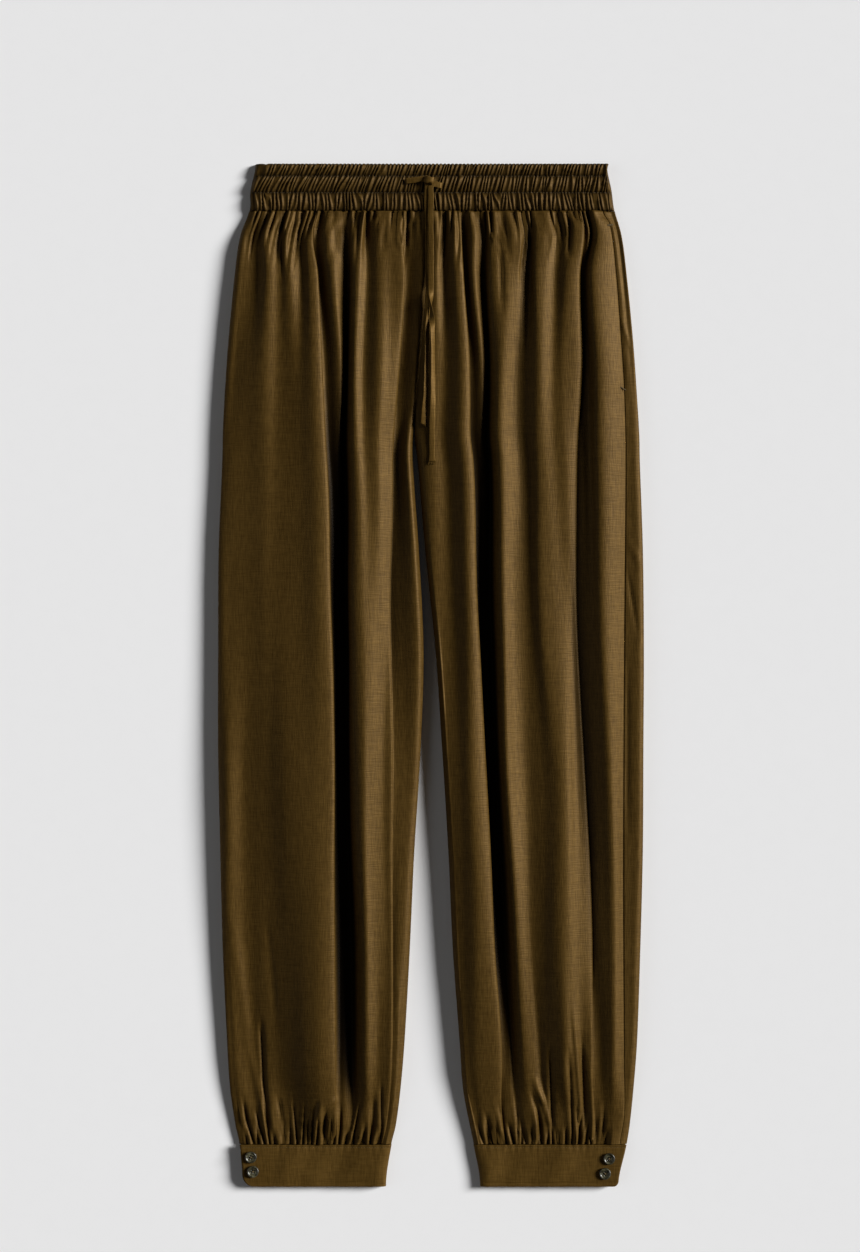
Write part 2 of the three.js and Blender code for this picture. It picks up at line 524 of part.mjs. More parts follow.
// A flat tape of eight-sided section; its heights are the highest near each point, so it bridges the folds
function tape(route) {
  const middle = route.map(({ x, d, lift }) => {
    let top = 0;
    for (const step of [-9, -4.5, 0, 4.5, 9]) {
      const near = Math.min(Math.max(d + step, 1), LENGTH);
      if (d > BAND_HEIGHT - 12 || near < BAND_HEIGHT) top = Math.max(top, clothHeight(x, near));
    }
    return { x, y: LENGTH / 2 - d, z: top + lift + TAPE_THICK / 2 };
  });
  const flat = [[-1, -0.35], [-0.9, -1], [0.9, -1], [1, -0.35], [1, 0.35], [0.9, 1], [-0.9, 1], [-1, 0.35]];
  const rings = middle.map((p, i) => {
    const before = middle[Math.max(0, i - 1)];
    const after = middle[Math.min(middle.length - 1, i + 1)];
    const along = new THREE.Vector3(after.x - before.x, after.y - before.y, after.z - before.z).normalize();
    const across = new THREE.Vector3(0, 0, 1).cross(along).normalize();
    const up = along.clone().cross(across);
    return flat.map(([u, v]) => new THREE.Vector3(p.x, p.y, p.z)
      .addScaledVector(across, (u * TAPE_WIDTH) / 2).addScaledVector(up, (v * TAPE_THICK) / 2));
  });
  const count = flat.length;
  const indices = [];
  for (let r = 0; r < rings.length - 1; r += 1) {
    for (let c = 0; c < count; c += 1) {
      const [a, b] = [r * count + c, r * count + ((c + 1) % count)];
      indices.push(a, b, b + count, a, b + count, a + count);
    }
  }
  const lastRing = (rings.length - 1) * count;
  for (let c = 1; c < count - 1; c += 1) {
    indices.push(0, c + 1, c, lastRing, lastRing + c, lastRing + c + 1);
  }
  const geometry = new THREE.BufferGeometry();
  geometry.setAttribute('position',
    new THREE.Float32BufferAttribute(rings.flat().flatMap((v) => [v.x, v.y, v.z]), 3));
  geometry.setIndex(indices);
  return geometry;
}
function knotGeometry() {
  const knot = new THREE.SphereGeometry(0.5, 12, 8);
  knot.scale(KNOT.width, KNOT.height, KNOT.thick);
  knot.rotateZ(-0.25);
  return knot;
}

// ---- assembly ----
const cloth = { color: 0x5a431d, roughness: 0.55, metalness: 0 };
const trousers = new THREE.Group();
function addPiece(name, geometry, finish, position = [0, 0, 0]) {
  const mesh = new THREE.Mesh(geometry, new THREE.MeshStandardMaterial(finish));
  mesh.name = name;
  mesh.position.set(...position);
  trousers.add(mesh);
}

addPiece('front_right', legPanel(rightFrontSection), cloth);
addPiece('front_left', legPanel(leftFrontSection), cloth);
addPiece('back_right', legPanel(rightBackSection), cloth);
addPiece('back_left', legPanel(leftBackSection), cloth);
addPiece('waistband_front', waistbandFront(), cloth);
addPiece('waistband_back', waistbandBack(), cloth);
for (const [side, shape] of Object.entries(CUFFS)) addPiece(`cuff_${side}`, cuff(shape), cloth);
addPiece('pocket_right', pocket(-1), cloth);
addPiece('pocket_left', pocket(1), cloth);

const BUTTONS = {
  button_right_upper: { x: -176, d: 971 }, button_right_lower: { x: -174, d: 985 },
  button_left_upper: { x: 174, d: 972.5 }, button_left_lower: { x: 170, d: 987 },
};
const buttonSeat = CUFF_TOP_HEIGHT + CUFF_CLOTH / 2 + SEAM;
for (const [name, { x, d }] of Object.entries(BUTTONS)) {
  addPiece(name, buttonGeometry(), { color: 0x4a4230, roughness: 0.35, metalness: 0 },
    [x, LENGTH / 2 - d, buttonSeat]);
}

for (const [name, route] of Object.entries(TAPES)) addPiece(name, tape(route), cloth);
addPiece('drawstring_knot', knotGeometry(), cloth,
  [KNOT.x, LENGTH / 2 - KNOT.d, clothHeight(KNOT.x, KNOT.d) + SEAM + KNOT.thick / 2]);

export default trousers;
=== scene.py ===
import math

import bpy
import numpy as np
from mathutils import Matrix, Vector
from mathutils.bvhtree import BVHTree


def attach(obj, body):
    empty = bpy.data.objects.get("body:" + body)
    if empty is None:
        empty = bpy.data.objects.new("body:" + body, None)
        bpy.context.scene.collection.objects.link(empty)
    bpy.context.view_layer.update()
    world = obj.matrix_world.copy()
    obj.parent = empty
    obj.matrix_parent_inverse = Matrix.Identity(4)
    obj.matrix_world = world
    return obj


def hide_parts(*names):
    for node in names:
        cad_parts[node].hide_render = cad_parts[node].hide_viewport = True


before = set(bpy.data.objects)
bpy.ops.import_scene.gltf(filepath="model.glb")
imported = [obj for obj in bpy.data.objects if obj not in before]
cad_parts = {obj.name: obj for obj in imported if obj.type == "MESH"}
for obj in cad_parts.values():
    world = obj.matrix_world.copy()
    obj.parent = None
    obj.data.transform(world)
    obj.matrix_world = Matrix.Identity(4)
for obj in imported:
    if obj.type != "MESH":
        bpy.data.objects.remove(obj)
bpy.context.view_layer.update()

# Balloon trousers laid on their back: x across, y towards the waist, z up from the floor.
# Sizes in the dictionaries are millimetres, d is the distance below the waist edge, and
# right and left are the wearer's.
mm = 0.001
length = 1000
bandHeight = 46
cuffTop = 959
seamGap = 0.3
random = np.random.default_rng(7)


# camera
frontView = {"pixels": (860, 1252), "mmPerPixel": 0.9766, "lens": 85, "sensor": 36,
             "centre": (-1, 48), "clothHeight": 10, "farthest": 50}   # farthest is in metres


def makeCamera(view):
    data = bpy.data.cameras.new("camera")
    data.lens = view["lens"]
    data.sensor_width = view["sensor"]
    frameHeight = view["pixels"][1] * view["mmPerPixel"]
    distance = frameHeight * view["lens"] / view["sensor"]
    data.clip_end = view["farthest"]
    camera = bpy.data.objects.new("camera", data)
    x, y = view["centre"]
    camera.location = (x * mm, y * mm, (view["clothHeight"] + distance) * mm)
    bpy.context.scene.collection.objects.link(camera)
    bpy.context.scene.camera = camera


makeCamera(frontView)
print("camera ready")


# shader writing
class Wire:
    # an output socket that sums and multiplies like a number
    def __init__(self, paint, socket):
        self.paint = paint
        self.socket = socket

    def calc(self, operation, first, second):
        return self.paint.node("ShaderNodeMath", {"operation": operation}, {0: first, 1: second})

    def __add__(self, other):
        return self.calc("ADD", self, other)

    def __radd__(self, other):
        return self.calc("ADD", other, self)

    def __sub__(self, other):
        return self.calc("SUBTRACT", self, other)

    def __rsub__(self, other):
        return self.calc("SUBTRACT", other, self)

    def __mul__(self, other):
        return self.calc("MULTIPLY", self, other)

    def __rmul__(self, other):
        return self.calc("MULTIPLY", other, self)


class Paint:
    def __init__(self, name):
        self.material = bpy.data.materials.new(name)
        self.material.use_nodes = True
        self.tree = self.material.node_tree
        self.tree.nodes.clear()

    def node(self, kind, settings=None, sockets=None, out=0):
        made = self.tree.nodes.new(kind)
        for key, value in (settings or {}).items():
            if key == "stops":
                ramp = made.color_ramp
                while len(ramp.elements) < len(value):
                    ramp.elements.new(0.5)
                for element, (place, colour) in zip(ramp.elements, value):
                    element.position = place
                    element.color = colour
            else:
                setattr(made, key, value)
        for key, value in (sockets or {}).items():
            if isinstance(value, Wire):
                self.tree.links.new(value.socket, made.inputs[key])
            else:
                made.inputs[key].default_value = value
        return Wire(self, made.outputs[out]) if len(made.outputs) else None

    def noise(self, scale, stretch, detail=2, roughness=0.5):
        place = self.node("ShaderNodeTexCoord", out="Object")
        mapped = self.node("ShaderNodeMapping", {}, {"Vector": place, "Scale": stretch})
        return self.node("ShaderNodeTexNoise", {}, {
            "Vector": mapped, "Scale": scale, "Detail": detail, "Roughness": roughness})

    def blend(self, factor, first, second):
        return self.node("ShaderNodeMix", {"data_type": "RGBA"}, {0: factor, 6: first, 7: second}, out=2)

    def finish(self, shader):
        self.node("ShaderNodeOutputMaterial", {}, {"Surface": shader})
        return self.material


def rgba(colour, tone=1):
    return (*(c * tone for c in colour), 1)


# slot is the near-black that the cloth darkens towards in the hollows between folds, and the weight after it
# how far: painted shade
satinLook = {"dark": (0.048, 0.0255, 0.0046), "light": (0.088, 0.049, 0.0106), "slot": (0.004, 0.0025, 0.001),
             "slotShadeWeight": 0.95, "roughness": 0.42, "streakRoughness": 0.16, "specular": 0.06, "metallic": 0.22,
             "threadPitch": 1.15, "threadBump": 0.6, "bump": 0.42, "bumpHeight": 0.0006,
             "threadStretch": 0.09, "streakScale": 46, "streakStretch": 0.035, "cloudScale": 9}
# how far each pattern moves the colour towards the light one, and what evens them out; the streaks are
# painted sheen
satinPattern = {"warp": 1.4, "weft": 0.9, "sheenStreaks": 0.4, "cloud": 0.35, "even": 1.025}
# painted light and shade: copies of the one satin, the band darker and the cuffs and tapes lighter, as the
# light falls on them
satinLightAndShadeTones = {"satin": 1, "band satin painted darker": 0.85, "cuff satin painted lighter": 1.22, "tape satin painted lighter": 1.3}


def makeSatin(name, tone):
    look, share = satinLook, satinPattern
    paint = Paint(name)
    pitch = 1 / (look["threadPitch"] * mm)
    thin = look["threadStretch"]
    warp = paint.noise(pitch, (1, thin, 1), 1)            # thin lines down the cloth
    weft = paint.noise(pitch, (thin, 1, thin), 1)         # and across it
    # painted sheen: long bands that lighten the colour, and that also vary the roughness
    sheenStreaks = paint.noise(look["streakScale"], (1, look["streakStretch"], 1), 3)   # bands of sheen
    cloud = paint.noise(look["cloudScale"], (1, 0.5, 1), 2)
    depth = paint.node("ShaderNodeAttribute", {"attribute_name": "foldDepth"}, out="Fac")
    mixing = (warp * share["warp"] + weft * share["weft"] + sheenStreaks * share["sheenStreaks"]
              + cloud * share["cloud"] - share["even"])
    colour = paint.blend(mixing, rgba(look["dark"], tone), rgba(look["light"], tone))
    # painted shade: the colour darkens towards the slot colour where the shade attribute is high
    shaded = paint.blend(depth * look["slotShadeWeight"], colour, rgba(look["slot"]))
    roughness = sheenStreaks * look["streakRoughness"] + look["roughness"]
    height = warp * look["threadBump"] + weft * look["threadBump"]
    normal = paint.node("ShaderNodeBump", {}, {
        "Strength": look["bump"], "Distance": look["bumpHeight"], "Height": height})
    shader = paint.node("ShaderNodeBsdfPrincipled", {}, {
        "Base Color": shaded, "Roughness": roughness, "Normal": normal,
        "Specular IOR Level": look["specular"], "Metallic": look["metallic"]})
    return paint.finish(shader)


plainLook = {"grain": 900, "dark": 0.75, "light": 1.2, "roughness": 0.8, "bump": 0.2, "bumpHeight": 0.0005}


def makePlainCloth(name, colour):
    look = plainLook
    paint = Paint(name)
    grain = paint.noise(look["grain"], (1, 1, 1))
    base = paint.blend(grain, rgba(colour, look["dark"]), rgba(colour, look["light"]))
    normal = paint.node("ShaderNodeBump", {}, {
        "Strength": look["bump"], "Distance": look["bumpHeight"], "Height": grain})
    shader = paint.node("ShaderNodeBsdfPrincipled", {}, {
        "Base Color": base, "Roughness": look["roughness"], "Normal": normal})
    return paint.finish(shader)


# rim is the colour the buttons darken towards: painted shade in the holes and underneath, and a darker ring
# at the rim
hornLook = {"dark": (0.012, 0.01, 0.005), "middle": (0.042, 0.038, 0.019), "light": (0.11, 0.105, 0.06),
            "stops": (0.36, 0.52, 0.66), "rim": (0.01, 0.008, 0.004), "swirl": 260, "roughness": 0.26,
            "swirlRoughness": 0.2, "coat": 0.12, "coatRoughness": 0.2}


def makeHorn(name, look):
    paint = Paint(name)
    swirl = paint.noise(look["swirl"], (1, 1.7, 1), 4, 0.6)
    colours = [rgba(look[key]) for key in ("dark", "middle", "light")]
    marble = paint.node("ShaderNodeValToRGB", {"stops": list(zip(look["stops"], colours))}, {"Fac": swirl})
    # painted shade in the holes and underneath, through the shade attribute, and a darker ring at the rim
    edge = paint.node("ShaderNodeAttribute", {"attribute_name": "foldDepth"}, out="Fac")
    base = paint.blend(edge, marble, rgba(look["rim"]))
    roughness = swirl * look["swirlRoughness"] + look["roughness"]
    shader = paint.node("ShaderNodeBsdfPrincipled", {}, {
        "Base Color": base, "Roughness": roughness,
        "Coat Weight": look["coat"], "Coat Roughness": look["coatRoughness"]})
    return paint.finish(shader)


floorLook = {"dark": (0.845, 0.845, 0.85), "light": (0.86, 0.86, 0.865), "grain": 60, "roughness": 0.95,
             "specular": 0.1}


def makeFloorPaint(look):
    paint = Paint("floor")
    grain = paint.noise(look["grain"], (1, 1, 1))
    base = paint.blend(grain, rgba(look["dark"]), rgba(look["light"]))
    shader = paint.node("ShaderNodeBsdfPrincipled", {}, {
        "Base Color": base, "Roughness": look["roughness"], "Specular IOR Level": look["specular"]})
    return paint.finish(shader)


satin, bandSatin, cuffSatin, tapeSatin = (makeSatin(name, tone) for name, tone in satinLightAndShadeTones.items())
pocketing = makePlainCloth("pocketing", (0.10, 0.063, 0.02))
threadPaint = makePlainCloth("thread", (0.105, 0.07, 0.024))
horn = makeHorn("horn", hornLook)
print("materials ready")


# curves and walls
def smooth(low, high, value):
    t = np.clip((value - low) / (high - low), 0, 1)
    return t * t * (3 - 2 * t)


def mix(a, b, t):
    return a + (b - a) * t


def curveAt(places, values, d):
    # cubic through the given values, level at both ends
    places = np.asarray(places, float)
    values = np.asarray(values, float)
    d = np.clip(np.asarray(d, float), places[0], places[-1])
    i = np.clip(np.searchsorted(places, d, side="left") - 1, 0, len(places) - 2)
    slope = np.zeros(len(places))
    slope[1:-1] = (values[2:] - values[:-2]) / (places[2:] - places[:-2])
    h = places[i + 1] - places[i]
    t = (d - places[i]) / h
    return ((2 * t**3 - 3 * t**2 + 1) * values[i] + (t**3 - 2 * t**2 + t) * h * slope[i]
            + (3 * t**2 - 2 * t**3) * values[i + 1] + (t**3 - t**2) * h * slope[i + 1])


def sectionCurve(controls, steps):
    # centripetal curve through the control points of every row: rows x controls x 2
    first = 2 * controls[:, :1] - controls[:, 1:2]
    last = 2 * controls[:, -1:] - controls[:, -2:-1]
    knots = np.concatenate([first, controls, last], axis=1)
    parts = []
    for i, count in enumerate(steps):
        p0, p1, p2, p3 = (knots[:, i + k] for k in range(4))
        gaps = [np.maximum(np.hypot(*(b - a).T), 1e-4)[:, None] ** 0.5
                for a, b in ((p0, p1), (p1, p2), (p2, p3))]
        t1 = ((p1 - p0) / gaps[0] - (p2 - p0) / (gaps[0] + gaps[1]) + (p2 - p1) / gaps[1]) * gaps[1]
        t2 = ((p2 - p1) / gaps[1] - (p3 - p1) / (gaps[1] + gaps[2]) + (p3 - p2) / gaps[2]) * gaps[1]
        t = (np.arange(count) / count)[None, :, None]
        bends = (p1, t1, -3 * p1 + 3 * p2 - 2 * t1 - t2, 2 * p1 - 2 * p2 + t1 + t2)
        a, b, c, e = (v[:, None] for v in bends)
        parts.append(a + b * t + c * t**2 + e * t**3)
    parts.append(controls[:, -1:])
    return np.concatenate(parts, axis=1)


def stepsFor(controls, spacing, least=2):
    # as many steps for each span as its usual length asks for
    spans = np.hypot(*np.moveaxis(np.diff(controls, axis=1), 2, 0)).mean(axis=0)
    return [max(least, int(round(s / spacing))) for s in spans]


def finishMesh(name, points, quads, shade, material, triangles=()):
    mesh = bpy.data.meshes.new(name)
    faces = [tuple(q) for q in quads] + [tuple(t) for t in triangles]
    mesh.from_pydata(np.asarray(points).tolist(), [], faces)
    mesh.polygons.foreach_set("use_smooth", [True] * len(mesh.polygons))
    if shade is not None:
        # the shade is stored as an attribute that darkens the colour: painted shade
        layer = mesh.attributes.new("foldDepth", "FLOAT", "POINT")
        layer.data.foreach_set("value", np.asarray(shade, np.float32))
    mesh.validate()
    mesh.update()
    piece = bpy.data.objects.new(name, mesh)
    bpy.context.scene.collection.objects.link(piece)
    mesh.materials.append(material)
    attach(piece, "root")
    return piece


def gridQuads(rows, columns, start, flip):
    at = start + np.arange(rows * columns).reshape(rows, columns)
    a, b, c, d = at[:-1, :-1], at[1:, :-1], at[1:, 1:], at[:-1, 1:]
    order = (a, d, c, b) if flip else (a, b, c, d)
    return np.stack(order, axis=-1).reshape(-1, 4)


def shell(name, outer, inner, shade, material):
    # a closed thin wall between two grids of points, rows x columns x 3, in millimetres
    rows, columns = outer.shape[:2]
    points = np.concatenate([outer.reshape(-1, 3), inner.reshape(-1, 3)])
    half = rows * columns
    at = np.arange(half).reshape(rows, columns)
    rim = np.concatenate([at[0, :-1], at[:-1, -1], at[-1, :0:-1], at[:0:-1, 0]])
    after = np.roll(rim, -1)
    edge = np.stack([rim, after, after + half, rim + half], axis=-1)
    quads = np.concatenate([gridQuads(rows, columns, 0, False), gridQuads(rows, columns, half, True), edge])
    a, b, c = (points[quads[:, k]] for k in (0, 1, 2))
    e = points[quads[:, 3]]
    volume = (np.einsum("ij,ij->i", a, np.cross(b, c)) + np.einsum("ij,ij->i", a, np.cross(c, e))).sum()
    if volume < 0:
        quads = quads[:, ::-1]
    return finishMesh(name, points * mm, quads, np.tile(shade.ravel(), 2), material)


def clothShell(name, section, d, thickness, material, shade, ends=(None, None)):
    # section: rows x columns x (x, z); the wall is offset to both sides across the section
    along = np.gradient(section, axis=1)
    nx, nz = -along[..., 1], along[..., 0]
    for column, normal in zip((0, -1), ends):
        if normal is not None:
            nx[:, column], nz[:, column] = normal
    size = np.maximum(np.hypot(nx, nz), 1e-6)
    nx, nz = nx / size, nz / size
    y = np.broadcast_to((length / 2 - d)[:, None], nx.shape)

    def side(sign):
        z = np.maximum(section[..., 1] + sign * nz * thickness / 2, 0)
        return np.stack([section[..., 0] + sign * nx * thickness / 2, y, z], axis=-1)
    return shell(name, side(1), side(-1), shade, material)


# outline and folds
outline = {
    "d": [0, 26, 44, 70, 105, 173, 231, 265, 290, 378, 476, 573, 671, 769, 857, 905, 940, 959, 1000],
    "rightOuter": [-172, -177, -177.5, -186.5, -191.5, -198, -202, -203.5, -204, -207.5, -208, -208, -206,
                   -203.5, -199.5, -196.5, -191.5, -187.5, -184.5],
    "rightInner": [-1, -1, -2, -2.5, -4, -9, -14, -17, -17.5, -11.5, -7, -10, -16, -20.5, -25.5, -29.5, -34,
                   -38.5, -44],
    "leftInner": [-1, -1, -2, -2.5, -4, -9, -14, -16.5, -13.5, -6, 4, 10.5, 16.5, 21, 27.5, 31, 37.5,
                  41.5, 48],
    "leftOuter": [172.5, 177, 179.5, 186.5, 191, 197.5, 201.5, 203.5, 204, 207, 208, 207.5, 207, 204.5, 201.5,
                  198, 194.5, 191.5, 183.5],
}
stations = [60, 110, 200, 300, 450, 600, 750, 880, 940]
# each row is one fold line down the leg: x across and z up at the nine stations
rightFolds = [
    {"line": "edge crest", "x": [-176, -183, -192, -196, -197, -198, -196, -190, -181],
     "z": [8.5, 10.5, 11, 12, 12.5, 15, 12, 8.5, 7]},
    {"line": "edge valley", "x": [-168, -169, -178, -178, -176, -183, -180, -172, -166],
     "z": [7, 10.2, 14.8, 14.3, 14.5, 12.3, 9.3, 5.6, 5.8]},
    {"line": "first crest", "x": [-158, -159.5, -162, -162, -163, -165, -166, -163, -157.5],
     "z": [12.5, 17, 19, 17.2, 17, 15.5, 11.3, 8, 8.6]},
    {"line": "long valley", "x": [-148, -148, -149, -151, -155, -157, -152, -148, -141],
     "z": [8.5, 14, 16.5, 17, 18, 17.5, 14.2, 9.4, 6.2]},
    {"line": "panel crest", "x": [-140, -138.5, -136, -139, -145, -142, -138, -136, -130],
     "z": [12.5, 17, 18.3, 18.4, 19.5, 22.6, 18.9, 13.2, 7.8]},
    {"line": "soft valley", "x": [-126.5, -126, -127, -127, -126, -124, -121, -121, -117],
     "z": [7.5, 12.5, 19.5, 20.5, 22, 25.2, 24.2, 20.6, 12.5]},
    {"line": "rim crest", "x": [-118.5, -118, -114, -110, -107.5, -107, -106, -106, -106],
     "z": [13, 17.5, 23.5, 24.6, 25.6, 25.8, 26, 23.5, 15]},
    {"line": "rim", "x": [-114.5, -110.5, -106, -101, -97, -94, -94, -93, -93],
     "z": [12, 15.8, 20.5, 21.5, 22, 22.5, 22, 19.3, 13.5], "undercut": 3, "from": 55, "to": 945},
    {"line": "slot floor", "x": [-110, -108, -102.5, -97.5, -93, -90.5, -90, -89.5, -89],
     "z": [8, 9, 12, 11, 8.5, 8, 8, 8.5, 8]},
    {"line": "tongue crest", "x": [-98, -96, -88.5, -89.5, -88, -87, -86, -85, -85],
     "z": [13.5, 17.5, 16.3, 12, 8.2, 7.5, 7.5, 8.5, 8.5]},
    {"line": "deep slot", "x": [-79.5, -81, -83, -84, -82.5, -82, -78, -77, -77],
     "z": [6.5, 7, 7, 7, 7, 7, 7, 7, 6.5]},
    {"line": "fold shoulder", "x": [-76, -76, -77.5, -77.5, -77.5, -76, -71, -70, -70],
     "z": [12, 16.5, 19, 21, 21.5, 20.5, 17.5, 14.5, 9.5]},
    {"line": "fold crest", "x": [-67, -71, -74.5, -72, -69, -66, -63.5, -63, -62],
     "z": [14, 18.5, 22, 24, 25, 25.5, 24, 19.5, 11]},
    {"line": "mid valley", "x": [-62, -62, -65, -63, -60, -59, -57, -56.5, -57],
     "z": [8, 13, 17.5, 20.5, 22.5, 22.5, 20.5, 17, 9.3]},
    {"line": "ridge crest", "x": [-51, -50.5, -50.5, -51.5, -52, -53, -51, -52, -53],
     "z": [13, 17.5, 22.5, 20.5, 18.5, 19.3, 18, 15.5, 10]},
    {"line": "ridge slope", "x": [-38, -39, -41, -43.5, -44.5, -46, -44, -46, -48],
     "z": [12.5, 15.5, 18.3, 15.5, 14.5, 16.3, 16.3, 16, 10]},
    {"line": "ridge rim", "x": [-28, -25.5, -31, -37.5, -40, -38, -38, -39, -44],
     "z": [12, 14.5, 13, 11.5, 11.5, 15.8, 16, 16.8, 9.5], "undercut": 2.5, "from": 55, "to": 260},
    {"line": "narrow valley", "x": [-22, -22.5, -26.5, -31, -31, -26, -32, -33, -40],
     "z": [6.5, 7.5, 7.5, 9, 11.5, 12.6, 14.8, 14.5, 8]},
]
leftFolds = [
    {"line": "inner crest", "x": [5, 5, 3, 1, 7.5, 18, 26, 33, 43],
     "z": [11, 14, 15.5, 16, 15.5, 17.2, 15, 12, 8]},
    {"line": "inner valley", "x": [13, 13, 15, 17, 22, 28, 31, 37, 47],
     "z": [7.5, 9.5, 14, 13.5, 15.5, 19.8, 16.5, 13, 8]},
    {"line": "ridge step", "x": [22, 24.5, 30, 33, 37.5, 40, 46, 46, 54],
     "z": [13, 17, 20.8, 21.8, 22.5, 24, 22, 15.5, 9.5]},
    {"line": "rim", "x": [29, 31.5, 37.5, 41.5, 46, 54, 61, 69, 70],
     "z": [12.5, 15, 17.5, 17.8, 18, 17.5, 17, 14, 8.5], "undercut": 3, "from": 55, "to": 945},
    {"line": "slot floor", "x": [33, 35, 41, 45.5, 49.5, 57.5, 64.5, 73, 75],
     "z": [7.5, 8.5, 11.5, 10.5, 8, 7.5, 7.5, 7.5, 7]},
    {"line": "tongue crest", "x": [41, 41, 49.5, 51, 53.5, 60.5, 68, 77, 81],
     "z": [13.5, 17, 15, 11, 7.8, 7.3, 7.3, 7.5, 7.5]},
    {"line": "deep slot", "x": [52, 52, 56, 57.5, 59, 64, 72, 80, 86],
     "z": [6.5, 7, 7, 7, 7, 7, 7, 6.8, 6.3]},
    {"line": "fold shoulder", "x": [57, 57.5, 60.5, 63, 65, 69.5, 78.5, 85.5, 93],
     "z": [12, 17, 17.5, 19, 19.5, 17, 15, 11, 8.5]},
    {"line": "fold crest", "x": [66, 72, 67.5, 68, 70, 73.5, 83, 91, 102],
     "z": [14, 18.5, 22.5, 24, 24.5, 24, 21, 14, 9.5]},
    {"line": "crisp ridge", "x": [85.7, 84.6, 82, 81, 81, 86, 93.5, 101, 110],
     "z": [13.5, 15, 16.5, 18, 18.5, 17, 16.8, 12.3, 8]},
    {"line": "ridge foot", "x": [87.5, 88, 86, 87, 91, 95, 98, 107, 114],
     "z": [11, 12.5, 15.5, 15.5, 15.8, 14, 15.5, 10, 6.8]},
    {"line": "second slot", "x": [96, 97, 92, 95, 99, 108, 109, 112, 118],
     "z": [7, 10, 16, 15.5, 16.5, 15.5, 17.3, 12.5, 8]},
    {"line": "step edge", "x": [101, 101.7, 102.5, 104, 107, 120, 120, 121, 130],
     "z": [13.5, 18, 22.5, 21.5, 21, 19.5, 22.5, 16.3, 9]},
    {"line": "middle crest", "x": [117.5, 110, 106.5, 110, 118, 126, 127, 132, 138],
     "z": [12, 17.5, 23, 21.7, 20, 20.5, 24, 20.8, 11]},
    {"line": "short valley", "x": [122, 122.5, 119, 122, 130, 133, 134, 140, 146],
     "z": [9, 12.5, 18, 18.5, 16.5, 19, 22.8, 17.5, 8.5]},
    {"line": "outer crest", "x": [136, 133, 129, 133, 138, 142, 143, 148, 152],
     "z": [13.5, 17.5, 18.5, 17.5, 13, 12.5, 18, 14.8, 8]},
    {"line": "outer rim", "x": [148, 145, 147, 142, 142, 150, 157, 156.5, 158],
     "z": [12.5, 14, 13, 12.5, 11.5, 10.3, 11.5, 16, 10], "undercut": 3, "from": 55, "to": 260},
    {"line": "rim foot", "x": [151, 147.5, 150.5, 148, 150, 157, 160, 165, 166],
     "z": [8, 8.5, 9.5, 12.5, 12.5, 11.3, 11.8, 12, 8]},
    {"line": "outer slot", "x": [154, 150.5, 154, 155, 158, 164, 170, 172, 173],
     "z": [7, 9, 11.5, 14.5, 17, 15.5, 16, 15, 8.5]},
    {"line": "seam crest", "x": [161, 156.5, 162, 163.5, 166, 174, 178, 178, 178],
     "z": [12.8, 18.6, 21, 22.2, 22.6, 20.3, 18.4, 17, 9]},
]
# the left side seam lies on top, where the back panel comes round the edge
leftSeam = {"d": [46, 60, 105, 172, 220, 280, 476, 700, 876, 930, 959],
            "x": [168, 175, 180.5, 185.5, 188.5, 190, 188.5, 187.5, 188.5, 189, 185]}
edgeHeights = {"d": [46, 85, 280, 671, 866, 959], "seam": [6.5, 9, 11.5, 12.5, 11.5, 6.5],
               "roll": [3.5, 7, 9, 9, 7.5, 3.6], "brow": [1.75, 1.5, 1.2, 1.4, 1.1, 1.3],
               "strip": [0.95, 0.85, 1.25, 1.4, 1.45, 1.6]}
innerRise = {"d": [46, 300, 430, 600, 750, 959], "right": [5, 7, 7, 3, 4.5, 3], "left": [5, 5, 6, 8, 6, 4]}
# creases: from (x0, d0) to (x1, d1), width across, depth down, or up where it is negative
creaseColumns = ("x0", "d0", "x1", "d1", "width", "depth")
rightCreases = [
    (-145, 44, -145, 116, 1.4, 2.4),
    (-93, 44, -93, 100, 1.2, 2.2),
    (-166, 835, -163, 910, 2.2, 3.4),
    (-164, 890, -157.5, 955, 2, 3.2),
    (-195, 730, -175, 885, 5, -1.1),
    (-177, 865, -160, 952, 3.2, -1.3),
    (-160.5, 735, -150, 850, 3.6, 0.9),
    (-116, 952, -105, 912, 2.8, -2.3),
    (-108, 921, -91, 913, 3.4, -1.3),
    (-109, 957, -99, 920, 2.6, 2.4),
    (-48.5, 895, -48.5, 960, 1.4, 2.2),
    (-57, 908, -57, 956, 3.5, 2.4),
    (-190.5, 908, -180.5, 960, 1.5, 2),
    (-150, 908, -141, 960, 1.5, 2.6),
]
leftCreases = [
    (67, 44, 69.5, 150, 2.4, 3),
    (70.5, 44, 76.5, 98, 1.3, 2.2),
    (134.5, 44, 135, 96, 1.6, 2.4),
    (162, 44, 162, 100, 1.8, 2.6),
    (100, 892, 111, 922, 2.8, -1.9),
    (107, 906, 117, 944, 2.6, -2.3),
    (97, 902, 109, 948, 2.4, 2.0),
    (116.5, 862, 119, 955, 2, 3.4),
    (133.5, 862, 139, 955, 2.1, 3.4),
    (137.5, 815, 149, 955, 2.2, -1.9),
    (146, 845, 151, 955, 2.3, 2.3),
]
stripCreases = [
    (184, 148, 196, 183, 1.5, -1),
    (190.5, 365, 206, 395, 1.6, -1.2),
    (191, 396, 203, 466, 1.6, 1.3),
    (191.5, 470, 191.5, 670, 2.6, 1.4),
]


def edgeAt(key, d):
    return curveAt(outline["d"], outline[key], d)


def edgeHeight(key, d):
    return curveAt(edgeHeights["d"], edgeHeights[key], d)


def seamAt(d):
    return curveAt(leftSeam["d"], leftSeam["x"], d)


